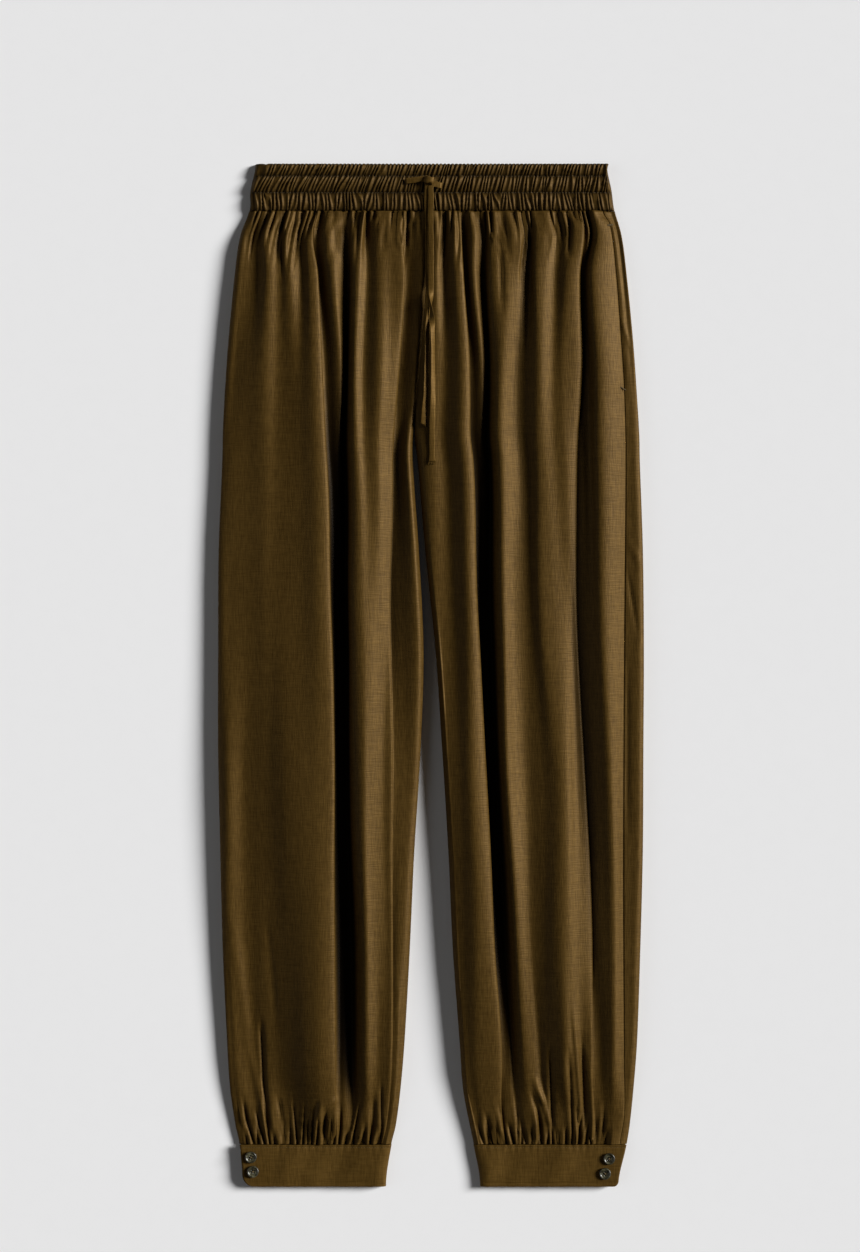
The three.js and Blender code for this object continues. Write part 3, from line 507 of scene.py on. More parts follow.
def addCreases(x, d, z, creases):
    for row in creases:
        crease = dict(zip(creaseColumns, row))
        dx, dd = crease["x1"] - crease["x0"], crease["d1"] - crease["d0"]
        reach = math.hypot(dx, dd)
        t = ((x - crease["x0"]) * dx + (d - crease["d0"]) * dd) / reach**2
        away = ((x - crease["x0"]) * dd - (d - crease["d0"]) * dx) / reach
        window = smooth(-0.05, 0.3, t) * smooth(1.05, 0.7, t)
        z = z - crease["depth"] * window * np.exp(-((away / crease["width"]) ** 2))
    return z


undercut = {"under": 0.6, "drop": 2.2}   # how far a rim's foot lies back and down


def foldControls(folds, outerKey, innerKey, d):
    # a fold keeps its share of the panel's width, so it follows the outline
    outer, inner = edgeAt(outerKey, d), edgeAt(innerKey, d)
    fromEdge, toEdge = edgeAt(outerKey, stations), edgeAt(innerKey, stations)
    controls = []
    for fold in folds:
        shares = (np.asarray(fold["x"], float) - fromEdge) / (toEdge - fromEdge)
        x = mix(outer, inner, curveAt(stations, shares, d))
        z = curveAt(stations, fold["z"], d)
        controls.append(np.stack([x, z], axis=-1))
        if "undercut" in fold:
            begins = smooth(fold["from"] - 20, fold["from"] + 50, d)
            depth = fold["undercut"] * begins * smooth(fold["to"] + 10, fold["to"] - 50, d)
            controls.append(np.stack([x - depth * undercut["under"], z - undercut["drop"] - depth], axis=-1))
    return controls, outer, inner


gathering = {"waist": {"count": 46, "depth": 3.3, "base": 7.4, "shortest": 10, "longest": 80, "lean": 0.05},
             "cuff": {"count": 27, "depth": 3.5, "base": 6.5, "shortest": 14, "longest": 66, "lean": 0.15}}
foldReach = {"waistFrom": bandHeight - 15, "waistTo": bandHeight + 30,
             "cuffFrom": cuffTop + 10, "cuffTo": cuffTop - 30}
grooves = {"stray": 0.3, "narrow": 0.9, "wide": 2.0, "shallow": 0.6, "deep": 1.25, "mostlyShort": 1.6,
           "ridge": 0.55, "ridgeAt": 2.1}


def gatherHeights(share, away, wide, gather):
    # narrow grooves from the seam, each with a small ridge beside it; away is the distance from the seam
    count = gather["count"]
    total = np.zeros_like(share)
    for i in range(1, count):
        centre = (i + grooves["stray"] * random.uniform(-1, 1)) / count
        width = random.uniform(grooves["narrow"], grooves["wide"])
        depth = gather["depth"] * random.uniform(grooves["shallow"], grooves["deep"])
        reach = mix(gather["shortest"], gather["longest"], random.random() ** grooves["mostlyShort"])
        lean = gather["lean"] * random.uniform(-1, 1)
        place = ((share - centre) * wide - lean * away) / width
        fade = smooth(reach, reach * 0.15, away)
        ridge = grooves["ridge"] * np.exp(-(place + grooves["ridgeAt"]) ** 2)
        total += depth * fade * (ridge - np.exp(-place**2))
    return total


def foldShare(d):
    return (smooth(foldReach["waistFrom"], foldReach["waistTo"], d)
            * smooth(foldReach["cuffFrom"], foldReach["cuffTo"], d))


def gatherInto(section, first, last, d, creases):
    # the top face between two columns: folds down the leg, gathered at both seams
    x, z = section[..., 0].copy(), section[..., 1].copy()
    rows = d[:, None]
    share = foldShare(rows)
    cut = slice(first, last + 1)
    wide = x[:, last:last + 1] - x[:, first:first + 1]
    across = (x[:, cut] - x[:, first:first + 1]) / wide
    inWaist = rows < length / 2
    base = np.where(inWaist, gathering["waist"]["base"], gathering["cuff"]["base"])
    waves = (gatherHeights(across, rows - bandHeight, wide, gathering["waist"]) * inWaist
             + gatherHeights(across, cuffTop - rows, wide, gathering["cuff"]) * ~inWaist)
    ends = smooth(0, 0.03, across) * smooth(1, 0.97, across)
    flat = mix(base, z[:, cut], share)
    shaped = addCreases(x[:, cut], rows, flat + waves * ends, creases)
    z[:, cut] = mix(z[:, cut], shaped, ends**0.5)
    return np.stack([x, z], axis=-1)


# how the painted shade in the slots between the folds is measured
slotShade = {"window": 26, "columns": 24, "from": 3.5, "full": 15, "nearSide": 0.8}


def foldDepth(section):
    # painted shade: how far a point lies below the crests beside it, 0 on top and 1 in a deep slot, which
    # darkens the colour there
    x, z = section[..., 0], section[..., 1]
    count = slotShade["columns"]
    padded = np.pad(z, ((0, 0), (count, count)), mode="edge")
    paddedX = np.pad(x, ((0, 0), (count, count)), mode="edge")
    width = z.shape[1]
    left = np.zeros_like(z)
    right = np.zeros_like(z)
    for k in range(1, count + 1):
        for store, shift in ((left, -k), (right, k)):
            near = padded[:, count + shift:count + shift + width]
            away = np.abs(paddedX[:, count + shift:count + shift + width] - x)
            np.maximum(store, np.where(away < slotShade["window"], near - z, 0), out=store)
    depth = mix(np.maximum(left, right), np.minimum(left, right), slotShade["nearSide"])
    return smooth(slotShade["from"], slotShade["full"], depth)


crotch = {"start": 236, "end": 286}   # where the centre seam turns down into the inner legs
centreSeam = {"waistHeight": 7.5, "height": 11, "fullAt": 110}
innerRoll = {"d": [46, 280, 671, 866, 959], "height": [3.5, 9, 9, 8, 4]}
# how far in from the edge each point lies, at the centre seam and down the leg
innerPoints = {"brow": (4, 5), "bulge": (1.6, 0.75), "foot": (seamGap / 2, 1.95)}


def innerEdge(inner, towards, d):
    # the last points of a panel's section, and the way its end faces
    down = smooth(crotch["start"], crotch["end"], d)
    full = centreSeam["height"]
    rising = smooth(bandHeight, centreSeam["fullAt"], d)
    seamHeight = mix(mix(centreSeam["waistHeight"], full, rising), full, down)
    roll = curveAt(innerRoll["d"], innerRoll["height"], d)
    rise = curveAt(innerRise["d"], innerRise["right" if towards > 0 else "left"], d)
    heights = {"brow": mix(seamHeight + 1.2, roll + rise, down), "bulge": mix(seamHeight + 0.3, roll, down),
               "foot": mix(seamHeight, 1.5 + seamGap, down)}
    turn = down * math.pi / 2
    points = [np.stack([inner - towards * mix(*innerPoints[key], down), height], axis=-1)
              for key, height in heights.items()]
    return points, (np.sin(turn) * towards, np.cos(turn))


panelMesh = {"cloth": 0.9, "spacing": 1.6, "rowGap": 5.0, "seamRows": 1.9,
             "closeAbove": 100, "closeBelow": 905}
underLap = 14    # how far the right front comes round underneath
rollIn = 4.5     # and how far in from its edge it starts to round
# the left back: how far in it leaves the floor and crests, and where its strip to the seam bends
leftTurn = {"floor": 6, "brow": 4, "share": 0.55, "rise": 0.7, "spacing": 1.2}
pocketMouth = {"top": 50, "openFrom": 66, "openTo": 214, "bottom": 232}


def panelRows(mesh):
    top = bandHeight + seamGap
    bottom = cuffTop - seamGap
    return np.concatenate([np.arange(top, mesh["closeAbove"], mesh["seamRows"]),
                           np.arange(mesh["closeAbove"], mesh["closeBelow"], mesh["rowGap"]),
                           np.arange(mesh["closeBelow"], bottom, mesh["seamRows"]), [bottom]])


legRows = panelRows(panelMesh)


def column(x, z):
    return np.stack([x, np.broadcast_to(z, x.shape)], axis=-1)


def mouthOpen(d):
    # the pocket mouth stands a little open between its tacks
    return (smooth(pocketMouth["top"], pocketMouth["openFrom"], d)
            * smooth(pocketMouth["bottom"], pocketMouth["openTo"], d))


def backShell(name, section, d, ends):
    return clothShell(name, section, d, panelMesh["cloth"], satin, np.zeros(section.shape[:2]), ends)


def rightFront():
    d = legRows
    folds, outer, inner = foldControls(rightFolds, "rightOuter", "rightInner", d)
    roll = edgeHeight("roll", d)
    half = panelMesh["cloth"] / 2
    start = [column(outer + underLap, half), column(outer + rollIn, half), column(outer + half, roll),
             column(outer + rollIn, roll * edgeHeight("brow", d))]
    edge, normal = innerEdge(inner, 1, d)
    controls = np.stack(start + folds + edge, axis=1)
    steps = stepsFor(controls, panelMesh["spacing"])
    section = sectionCurve(controls, steps)
    section[..., 1] = np.maximum(section[..., 1], half)
    section = gatherInto(section, sum(steps[:3]), section.shape[1] - 1 - sum(steps[-2:]), d, rightCreases)
    return clothShell("satin_front_right", section, d, panelMesh["cloth"], satin,
                      foldDepth(section), ends=((0, -1), normal))


def leftFront():
    d = legRows
    folds, _, inner = foldControls(leftFolds, "leftOuter", "leftInner", d)
    seam = seamAt(d)
    seamHeight = edgeHeight("seam", d)
    squeeze = np.clip((seam - 5 - inner) / (folds[-1][:, 0] - inner), 0, 1)
    for fold in folds:
        fold[:, 0] = mix(inner, fold[:, 0], squeeze)
    edge, normal = innerEdge(inner, -1, d)
    lip = [column(seam - 1.6, seamHeight + 0.9 + 0.7 * mouthOpen(d)),
           column(seam - seamGap / 2, seamHeight + 0.5 * mouthOpen(d))]
    controls = np.stack(edge[::-1] + folds + lip, axis=1)
    steps = stepsFor(controls, panelMesh["spacing"])
    section = sectionCurve(controls, steps)
    section = gatherInto(section, sum(steps[:2]), section.shape[1] - 1 - sum(steps[-2:]), d, leftCreases)
    return clothShell("satin_front_left", section, d, panelMesh["cloth"], satin,
                      foldDepth(section), ends=(normal, (0, 1)))


def rightBack():
    d = legRows[::3] if (len(legRows) - 1) % 3 == 0 else np.append(legRows[:-1:3], legRows[-1])
    start = edgeAt("rightOuter", d) + underLap + seamGap
    inner = edgeAt("rightInner", d)
    end = mix(inner - seamGap / 2, inner - 1, smooth(crotch["start"], crotch["end"], d))
    x = mix(start[:, None], end[:, None], np.linspace(0, 1, 30)[None])
    section = column(x, panelMesh["cloth"] / 2)
    return backShell("satin_back_right", section, d, ((0, 1), (0, 1)))


def leftBack():
    d = legRows
    outer = edgeAt("leftOuter", d)
    inner = edgeAt("leftInner", d)
    start = mix(inner + seamGap / 2, inner + 1, smooth(crotch["start"], crotch["end"], d))
    roll = edgeHeight("roll", d)
    seam = seamAt(d)
    seamHeight = edgeHeight("seam", d)
    half = panelMesh["cloth"] / 2
    floorEnd, brow = outer - leftTurn["floor"], outer - leftTurn["brow"]
    floor = column(mix(start[:, None], floorEnd[:, None], np.linspace(0, 1, 25)[None, :-1]), half)
    strip = roll * edgeHeight("strip", d)
    controls = np.stack([column(floorEnd, half), column(outer - half, roll), column(brow, strip),
                         column(mix(brow, seam, leftTurn["share"]), mix(strip, seamHeight, leftTurn["rise"])),
                         column(seam + seamGap / 2, seamHeight - 0.9 * mouthOpen(d))], axis=1)
    turn = sectionCurve(controls, stepsFor(controls, leftTurn["spacing"], 4))
    turn[..., 1] = np.maximum(turn[..., 1], half)
    x, z = turn[..., 0], turn[..., 1]
    turn[..., 1] = np.where(z > roll[:, None], addCreases(x, d[:, None], z, stripCreases), z)
    return backShell("satin_back_left", np.concatenate([floor, turn], axis=1), d, ((0, 1), (0, -1)))


frontRight = rightFront()
frontLeft = leftFront()
backRight = rightBack()
backLeft = leftBack()
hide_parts("front_right")
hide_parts("front_left")
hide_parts("back_right")
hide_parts("back_left")
print("leg panels ready")


# waistband
# the pleatShadeFrom, pleatShadeTo and dark entries set the painted shade in the hollows between the pleats
band = {"pleats": [90, 90, 82], "channels": [0, 12.2, 28.5, 46], "bulge": 2.0, "pleatHeight": 1.9,
        "inside": 3, "wall": 2.3, "crown": 1.5, "crownWithin": 1 / 70, "inset": 2.5, "slant": 0.3,
        "unevenPlace": 0.3, "unevenHeight": 0.4, "unevenLean": (0.35, 0.35, 0.6),
        "topRuffle": 0.6, "bottomRuffle": 0.35, "rimIn": (0, 0.2, 1), "rimUp": (0, 2.2, 4.2),
        "drawIn": 2.2 / 177, "cloth": 1.6, "pleatShadeFrom": 2.4, "pleatShadeTo": 0.2, "dark": 0.85,
        "columns": 610, "rows": 46, "stitchEvery": 3.1,
        "stitchLie": [(0, -0.1), (0.36, 0.18), (0.72, -0.1)]}   # shares along a stitch, and its lift
bandPlain = {"rows": 16, "columns": 260, "inset": 3.3, "cloth": 1.6, "height": 1.1, "rib": 0.175, "ribs": 65}


def bandFlat(t):
    # how the band would stand without its channels and pleats: it falls off at both ends
    crown = np.minimum(1, np.minimum(t, 1 - t) / band["crownWithin"])
    return crown, band["inside"] + band["wall"] + band["crown"] * crown


def bandSurface(t, d):
    # the pleated outer face, for a share t across and a distance d
    right = edgeAt("rightOuter", d) + band["inset"]
    left = edgeAt("leftOuter", d) - band["inset"]
    crown, flat = bandFlat(t)
    lines = np.asarray(band["channels"])
    channel = np.clip(np.searchsorted(lines, d, side="right") - 1, 0, 2)
    within = (d - lines[channel]) / (lines[channel + 1] - lines[channel])
    arch = np.clip(4 * within * (1 - within), 0, 1) ** 0.6
    wave, tall = np.zeros_like(t), np.zeros_like(t)
    for k, count in enumerate(band["pleats"]):
        place = np.clip(t, 0, 1) * count
        pleats = np.arange(count + 1)
        shear = np.interp(place, pleats, band["shears"][k]) * (within - 0.5)
        phase = np.interp(place, pleats, band["phases"][k]) + shear
        inside = channel == k
        wave = np.where(inside, np.abs(np.sin(math.pi * (place + phase))), wave)
        tall = np.where(inside, np.interp(place, pleats, band["heights"][k]), tall)
    pleat = band["pleatHeight"] * tall * (1 - wave**0.8) * (0.5 + 0.5 * arch)
    lean = band["slant"] * np.minimum(0, d - lines[2])
    return mix(right, left, t) - lean * crown, flat + band["bulge"] * arch + pleat


def ruffle(t, d):
    # the waist edge and the seam below wander with the pleats
    top = band["topRuffle"] * np.sin(t * band["pleats"][0] * math.pi * 2) * smooth(5, 0, d)
    waves = 1 + np.sin(t * band["pleats"][2] * math.pi * 2)
    return top - band["bottomRuffle"] * waves * smooth(bandHeight - 4, bandHeight, d)


def makeBandFront():
    ends = [count + 1 for count in band["pleats"]]
    band["phases"] = [band["unevenPlace"] * random.standard_normal(count) for count in ends]
    band["heights"] = [1 + band["unevenHeight"] * random.uniform(-1, 1, count) for count in ends]
    band["shears"] = [share * random.standard_normal(count) for share, count in zip(band["unevenLean"], ends)]
    d = np.linspace(seamGap / 2, bandHeight - seamGap / 2, band["rows"])
    t, rows = np.meshgrid(np.linspace(0, 1, band["columns"]), d)
    x, z = bandSurface(t, rows)
    right, left = (edgeAt(key, d)[:, None] for key in ("rightOuter", "leftOuter"))
    low = np.zeros_like(right)
    across = [length / 2 - d[:, None]] * 3

    def rimmed(body, before, after):
        return np.concatenate(before + [body] + after, axis=1)
    xs = rimmed(x, [right + step for step in band["rimIn"]], [left - step for step in band["rimIn"][::-1]])
    zs = rimmed(z, [low + step for step in band["rimUp"]], [low + step for step in band["rimUp"][::-1]])
    ys = np.minimum(rimmed(length / 2 - rows + ruffle(t, rows), across, across), length / 2)
    # painted shade in the hollows between the pleats, as strong as band dark
    pleatShade = smooth(band["pleatShadeFrom"], band["pleatShadeTo"], z - bandFlat(t)[1])
    shade = rimmed(pleatShade, [low] * 3, [low] * 3) * band["dark"]
    insideX = mix((xs[:, :1] + xs[:, -1:]) / 2, xs, 1 - band["drawIn"])
    insideZ = np.maximum(zs - band["cloth"] * smooth(0, 4, zs), 0)
    return shell("satin_waistband_front", np.stack([xs, ys, zs], axis=-1),
                 np.stack([insideX, ys, insideZ], axis=-1), shade, bandSatin)


def makeBandBack():
    d = np.linspace(seamGap / 2, bandHeight - seamGap / 2, bandPlain["rows"])
    right = edgeAt("rightOuter", d) + bandPlain["inset"]
    left = edgeAt("leftOuter", d) - bandPlain["inset"]
    t = np.linspace(0, 1, bandPlain["columns"])[None]
    x = mix(right[:, None], left[:, None], t)
    rib = bandPlain["rib"] * np.sin(t * math.pi * 2 * bandPlain["ribs"])
    section = column(x, bandPlain["height"] + rib)
    return clothShell("satin_waistband_back", section, d, bandPlain["cloth"], bandSatin,
                      np.zeros(x.shape), ends=((0, 1), (0, 1)))


bandFront = makeBandFront()
bandBack = makeBandBack()
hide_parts("waistband_front")
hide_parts("waistband_back")


# threads
def tubeQuads(rings, around, start=0, loop=False, flip=False):
    # faces from each ring of points to the next, and in a loop from the last to the first
    quads = []
    for i in range(rings if loop else rings - 1):
        near, far = start + i * around, start + (i + 1) % rings * around
        for k in range(around):
            after = (k + 1) % around
            quad = (near + k, far + k, far + after, near + after)
            quads.append((quad[0], quad[3], quad[2], quad[1]) if flip else quad)
    return quads


def frames(path):
    # at each point of a path: along it, across it and over it
    along = np.gradient(path, axis=0)
    along /= np.linalg.norm(along, axis=1)[:, None]
    steep = abs(along[0, 2]) >= 0.9
    across = np.cross(along, np.array([1.0, 0, 0]) if steep else np.array([0, 0, 1.0]))
    across /= np.linalg.norm(across, axis=1)[:, None]
    return along, across, np.cross(across, along)


def threadMesh(name, stitches, radius, sides=5, material=threadPaint):
    # many short threads as one mesh; each is a list of points in millimetres
    points, quads, triangles = [], [], []
    for path in stitches:
        path = np.asarray(path, float)
        across, over = frames(path)[1:]
        start = len(points)
        count = len(path)
        for k, p in enumerate(path):
            size = radius * (0.55 if k in (0, count - 1) else 1)
            for s in range(sides):
                turn = 2 * math.pi * s / sides
                points.append(p + size * (math.cos(turn) * across[k] + math.sin(turn) * over[k]))
        quads += tubeQuads(count, sides, start, flip=True)
        end = start + (count - 1) * sides
        for s in range(1, sides - 1):
            triangles.append((start, start + s + 1, start + s))
            triangles.append((end, end + s, end + s + 1))
    return finishMesh(name, np.asarray(points) * mm, quads, None, material, triangles)


def topOf(*pieces):
    # a function that gives the height of these pieces' upper faces, in millimetres
    trees = []
    for piece in pieces:
        mesh = piece.data
        verts = np.zeros(len(mesh.vertices) * 3, np.float32)
        mesh.vertices.foreach_get("co", verts)
        polygons = [tuple(p.vertices) for p in mesh.polygons]
        trees.append(BVHTree.FromPolygons([tuple(v) for v in verts.reshape(-1, 3)], polygons))

    def height(x, d):
        best = 0.0
        for tree in trees:
            hit = tree.ray_cast(Vector((x * mm, (length / 2 - d) * mm, 0.2)), Vector((0, 0, -1)))
            if hit[0] is not None:
                best = max(best, hit[0].z / mm)
        return best
    return height


clothTop = topOf(frontRight, frontLeft, bandFront)


def bandStitches():
    # a running stitch along each channel line, sunk between the pleats
    stitches = []
    for d in band["channels"][1:3]:
        x = float(edgeAt("rightOuter", d)) + 4
        end = float(edgeAt("leftOuter", d)) - 4
        while x < end - band["stitchEvery"]:
            spots = [(x + band["stitchEvery"] * share, lift) for share, lift in band["stitchLie"]]
            stitches.append([(spot, length / 2 - d, clothTop(spot, d) + lift) for spot, lift in spots])
            x += band["stitchEvery"]
    return threadMesh("thread_waist_channels", stitches, 0.2, 4)


bandThread = bandStitches()
print("waistband ready")


# cuffs
cuffShapes = {
    "right": {"outer": "rightOuter", "inner": "rightInner", "towards": 1, "corner": 11, "shift": 1.4},
    "left": {"outer": "leftOuter", "inner": "leftInner", "towards": -1, "corner": 5, "shift": 0.2},
}
cuffBand = {"cloth": 1.8, "topHeight": 7, "rows": 30, "cornerRows": 12, "spacing": 1.7,
            "seamDent": 0.5, "seamDentWide": 0.8, "hemDent": 0.35, "hemDentWide": 0.9, "hemAt": 996.5,
            "pucker": 0.3, "puckerPitch": 0.9, "puckerFrom": 972, "puckerFull": 960,
            "buttonsTo": 26, "sagFrom": 44,
            "stitchEvery": 2.6, "stitchIn": 2.6, "stitchLie": [(0.06, -0.12), (0.4, 0.15), (0.74, -0.12)]}
# soft dents in the upper layer, as waves along and down the cuff
cuffDents = {"broad": {"depth": 0.95, "along": 0.075, "down": 0.03, "fadeFrom": 952, "fade": 0.06},
             "small": {"depth": 0.35, "along": 0.19, "down": 0.08}}


def cuffSag(x, d, shift):
    broad, small = cuffDents["broad"], cuffDents["small"]
    wave = broad["depth"] * np.sin(x * broad["along"] + d * broad["down"] + shift)
    return (wave * np.sin((d - broad["fadeFrom"]) * broad["fade"])
            + small["depth"] * np.sin(x * small["along"] + d * small["down"]))


def cuffRows(corner):
    # even rows, and closer ones round the rounded corner
    turn = np.linspace(0, math.pi / 2, cuffBand["cornerRows"])
    return np.unique(np.concatenate([np.linspace(cuffTop + seamGap / 2, length - corner, cuffBand["rows"]),
                                     length - corner * (1 - np.sin(turn))]))


def cuffSection(shape, d):
    towards, corner = shape["towards"], shape["corner"]
    half, top = cuffBand["cloth"] / 2, cuffBand["topHeight"]
    outer, inner = edgeAt(shape["outer"], d), edgeAt(shape["inner"], d)
    above = length - d
    inset = np.where(above < corner, corner - np.sqrt(np.maximum(0, corner**2 - (corner - above) ** 2)), 0)

    def lap(k, z, share=0.0):
        return column(outer + towards * (k + inset * share), z)

    def fold(k, z):
        return column(inner - towards * k, z)
    controls = np.stack([
        lap(34, 3.9), lap(8, 3.9, 0.5), lap(3.2, 3.6, 1), lap(1.9, 2.4, 1), lap(3.4, 1.2, 1),
        lap(7, half, 0.6), lap(40, half), fold(30, half), fold(5, half), fold(1.9, 1.7), fold(half, 3.7),
        fold(1.8, 5.8), fold(5, top), fold(36, top), lap(36, top), lap(12, top, 0.3), lap(0.4, top, 1),
    ], axis=1)
    steps = stepsFor(controls, cuffBand["spacing"], 3)
    section = sectionCurve(controls, steps)
    section[..., 1] = np.maximum(section[..., 1], half)
    return section, sum(steps[:12]), outer, inner


def makeCuff(side, shape):
    d = cuffRows(shape["corner"])
    section, first, outer, inner = cuffSection(shape, d)
    x, rows = section[:, first:, 0], d[:, None]
    fromOuter, fromInner = np.abs(x - outer[:, None]), np.abs(x - inner[:, None])
    calm = smooth(cuffBand["buttonsTo"], cuffBand["sagFrom"], fromOuter) * smooth(2, 12, fromInner)
    pucker = (cuffBand["pucker"] * np.sin(x * cuffBand["puckerPitch"])
              * smooth(cuffBand["puckerFrom"], cuffBand["puckerFull"], rows))
    fromSeam = (rows - cuffTop - cuffBand["stitchIn"]) / cuffBand["seamDentWide"]
    fromHem = (rows - cuffBand["hemAt"]) / cuffBand["hemDentWide"]
    dents = cuffBand["seamDent"] * np.exp(-fromSeam**2) + cuffBand["hemDent"] * np.exp(-fromHem**2)
    sag = cuffSag(x, rows, shape["shift"])
    section[:, first:, 1] += (sag + pucker) * calm - dents * smooth(2, 5, fromInner)
    facing = (0, -shape["towards"])
    piece = clothShell(f"satin_cuff_{side}", section, d, cuffBand["cloth"], cuffSatin,
                       np.zeros(section.shape[:2]), ends=(facing, facing))
    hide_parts(f"cuff_{side}")
    return piece


def cuffStitches(side, shape, piece):
    # a running stitch along the cuff's seam
    top = topOf(piece)
    d = cuffTop + cuffBand["stitchIn"]
    start = float(edgeAt(shape["outer"], d)) + shape["towards"] * 2.5
    end = float(edgeAt(shape["inner"], d)) - shape["towards"] * 4
    count = int(abs(end - start) / cuffBand["stitchEvery"])
    stitches = []
    for i in range(count):
        spots = [(mix(start, end, (i + share) / count), lift) for share, lift in cuffBand["stitchLie"]]
        stitches.append([(x, length / 2 - d, top(x, d) + lift) for x, lift in spots])
    return threadMesh(f"thread_cuff_{side}", stitches, 0.17, 4)


cuffs = {side: makeCuff(side, shape) for side, shape in cuffShapes.items()}
cuffThreads = {side: cuffStitches(side, shape, cuffs[side]) for side, shape in cuffShapes.items()}
print("cuffs ready")


# buttons
buttons = {
    "button_right_upper": {"x": -176, "d": 971, "turn": 12, "tilt": (2, -2)},
    "button_right_lower": {"x": -174, "d": 985, "turn": 38, "tilt": (-2, 1)},
    "button_left_upper": {"x": 174, "d": 972.5, "turn": 55, "tilt": (2, 3)},
    "button_left_lower": {"x": 170, "d": 987, "turn": 5, "tilt": (1, 5)},
}
buttonShape = {"radius": 5.75, "thick": 2.4, "rimWidth": 2.2, "dishDepth": 0.9, "dishRise": 0.05,
               "dishRings": 8, "spokes": 56,
               "holeAt": 1.35, "holeDepth": 1.1, "holeFrom": 0.98, "holeFull": 0.62,
               "threadRadius": 0.17, "threadAside": 0.16, "threadRise": 0.75}
# the rim, in from the edge and down from the top, and the side below it, in and up from the underside
buttonRim = [(1.6, 0.45), (1.1, 0.02), (0.6, 0), (0.15, 0.4), (0, 0.9)]
buttonSide = [(0.05, 0.9), (0.7, 0.15), (1.2, 0)]


def buttonRings(shape):
    # radius and height of each ring, from the middle of the dish round to the underside
    radius, thick = shape["radius"], shape["thick"]
    rings = [(share * (radius - shape["rimWidth"]), thick - shape["dishDepth"] + shape["dishRise"] * share)
             for share in np.linspace(0, 1, shape["dishRings"] + 1)[1:]]
    rings += [(radius - inset, thick - drop) for inset, drop in buttonRim]
    return rings + [(radius - inset, z) for inset, z in buttonSide]


def makeButton(name, place, seat):
    shape = buttonShape
    radius, thick, spokes = shape["radius"], shape["thick"], shape["spokes"]
    rings = buttonRings(shape)
    turns = [math.radians(place["turn"]) + k * math.pi / 2 for k in range(4)]
    holes = [(shape["holeAt"] * math.cos(turn), shape["holeAt"] * math.sin(turn)) for turn in turns]
    points, shade = [(0, 0, thick - shape["dishDepth"])], [0.0]
    for r, z in rings:
        for s in range(spokes):
            angle = 2 * math.pi * s / spokes
            x, y = r * math.cos(angle), r * math.sin(angle)
            nearest = min(math.hypot(x - hx, y - hy) for hx, hy in holes)
            # painted shade: the holes and the underside are darkened through the shade attribute, and the
            # ring at the rim is darker too
            well = float(smooth(shape["holeFrom"], shape["holeFull"], nearest))
            rim = 0.9 * float(smooth(radius - 0.7, radius - 0.1, r))
            points.append((x, y, z - shape["holeDepth"] * well if z > 1 else z))
            shade.append(max(well, rim) if z > 0.2 else 0.5)
    points.append((0, 0, 0))
    shade.append(0.5)
    last = len(points) - 1
    under = last - spokes
    caps = [(0, 1 + s, 1 + (s + 1) % spokes) for s in range(spokes)]
    caps += [(last, under + (s + 1) % spokes, under + s) for s in range(spokes)]
    tiltX, tiltY = (math.sin(math.radians(a)) for a in place["tilt"])
    points = np.asarray(points, float)
    points[:, 2] += points[:, 0] * tiltY + points[:, 1] * tiltX + radius * (abs(tiltX) + abs(tiltY)) * 0.5
    centre = np.array([place["x"], length / 2 - place["d"], seat])
    piece = finishMesh(f"horn_{name}", (points + centre) * mm, tubeQuads(len(rings), spokes, 1), shade,
                       horn, caps)
    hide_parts(name)
    crosses = []
    shares = np.linspace(0, 1, 7)
    for a, b in ((0, 2), (1, 3)):
        start, end = np.array([*holes[a], 0]), np.array([*holes[b], 0])
        aside = np.array([start[1] - end[1], end[0] - start[0], 0]) / np.linalg.norm(end - start)
        for shift in (-shape["threadAside"], shape["threadAside"]):
            rise = [thick - 0.95 + shape["threadRise"] * math.sin(math.pi * t) ** 0.5 for t in shares]
            crosses.append([centre + mix(start, end, t) + aside * shift + np.array([0, 0, z])
                            for t, z in zip(shares, rise)])
    threadMesh(f"thread_{name}", crosses, shape["threadRadius"])


for name, place in buttons.items():
    makeButton(name, place, cuffBand["topHeight"] + cuffBand["cloth"] / 2 + seamGap)
print("buttons ready")


# pockets
pocketShape = {"top": 60, "bottom": 300, "reach": 108, "widest": 90, "halfDeep": 162, "leastSquare": 0.08,
               "cloth": 0.8, "height": 2.55, "lowest": 2.1, "closeFrom": 225, "closeTo": 262,
               "rows": 50, "spacing": 4}
# where the left bag leaves the floor, bends and ends, in from the seam, and how it rises there
pocketNeck = {"from": 16, "bend": 9, "end": 2.5, "rise": 0.42, "underSeam": 1.8}


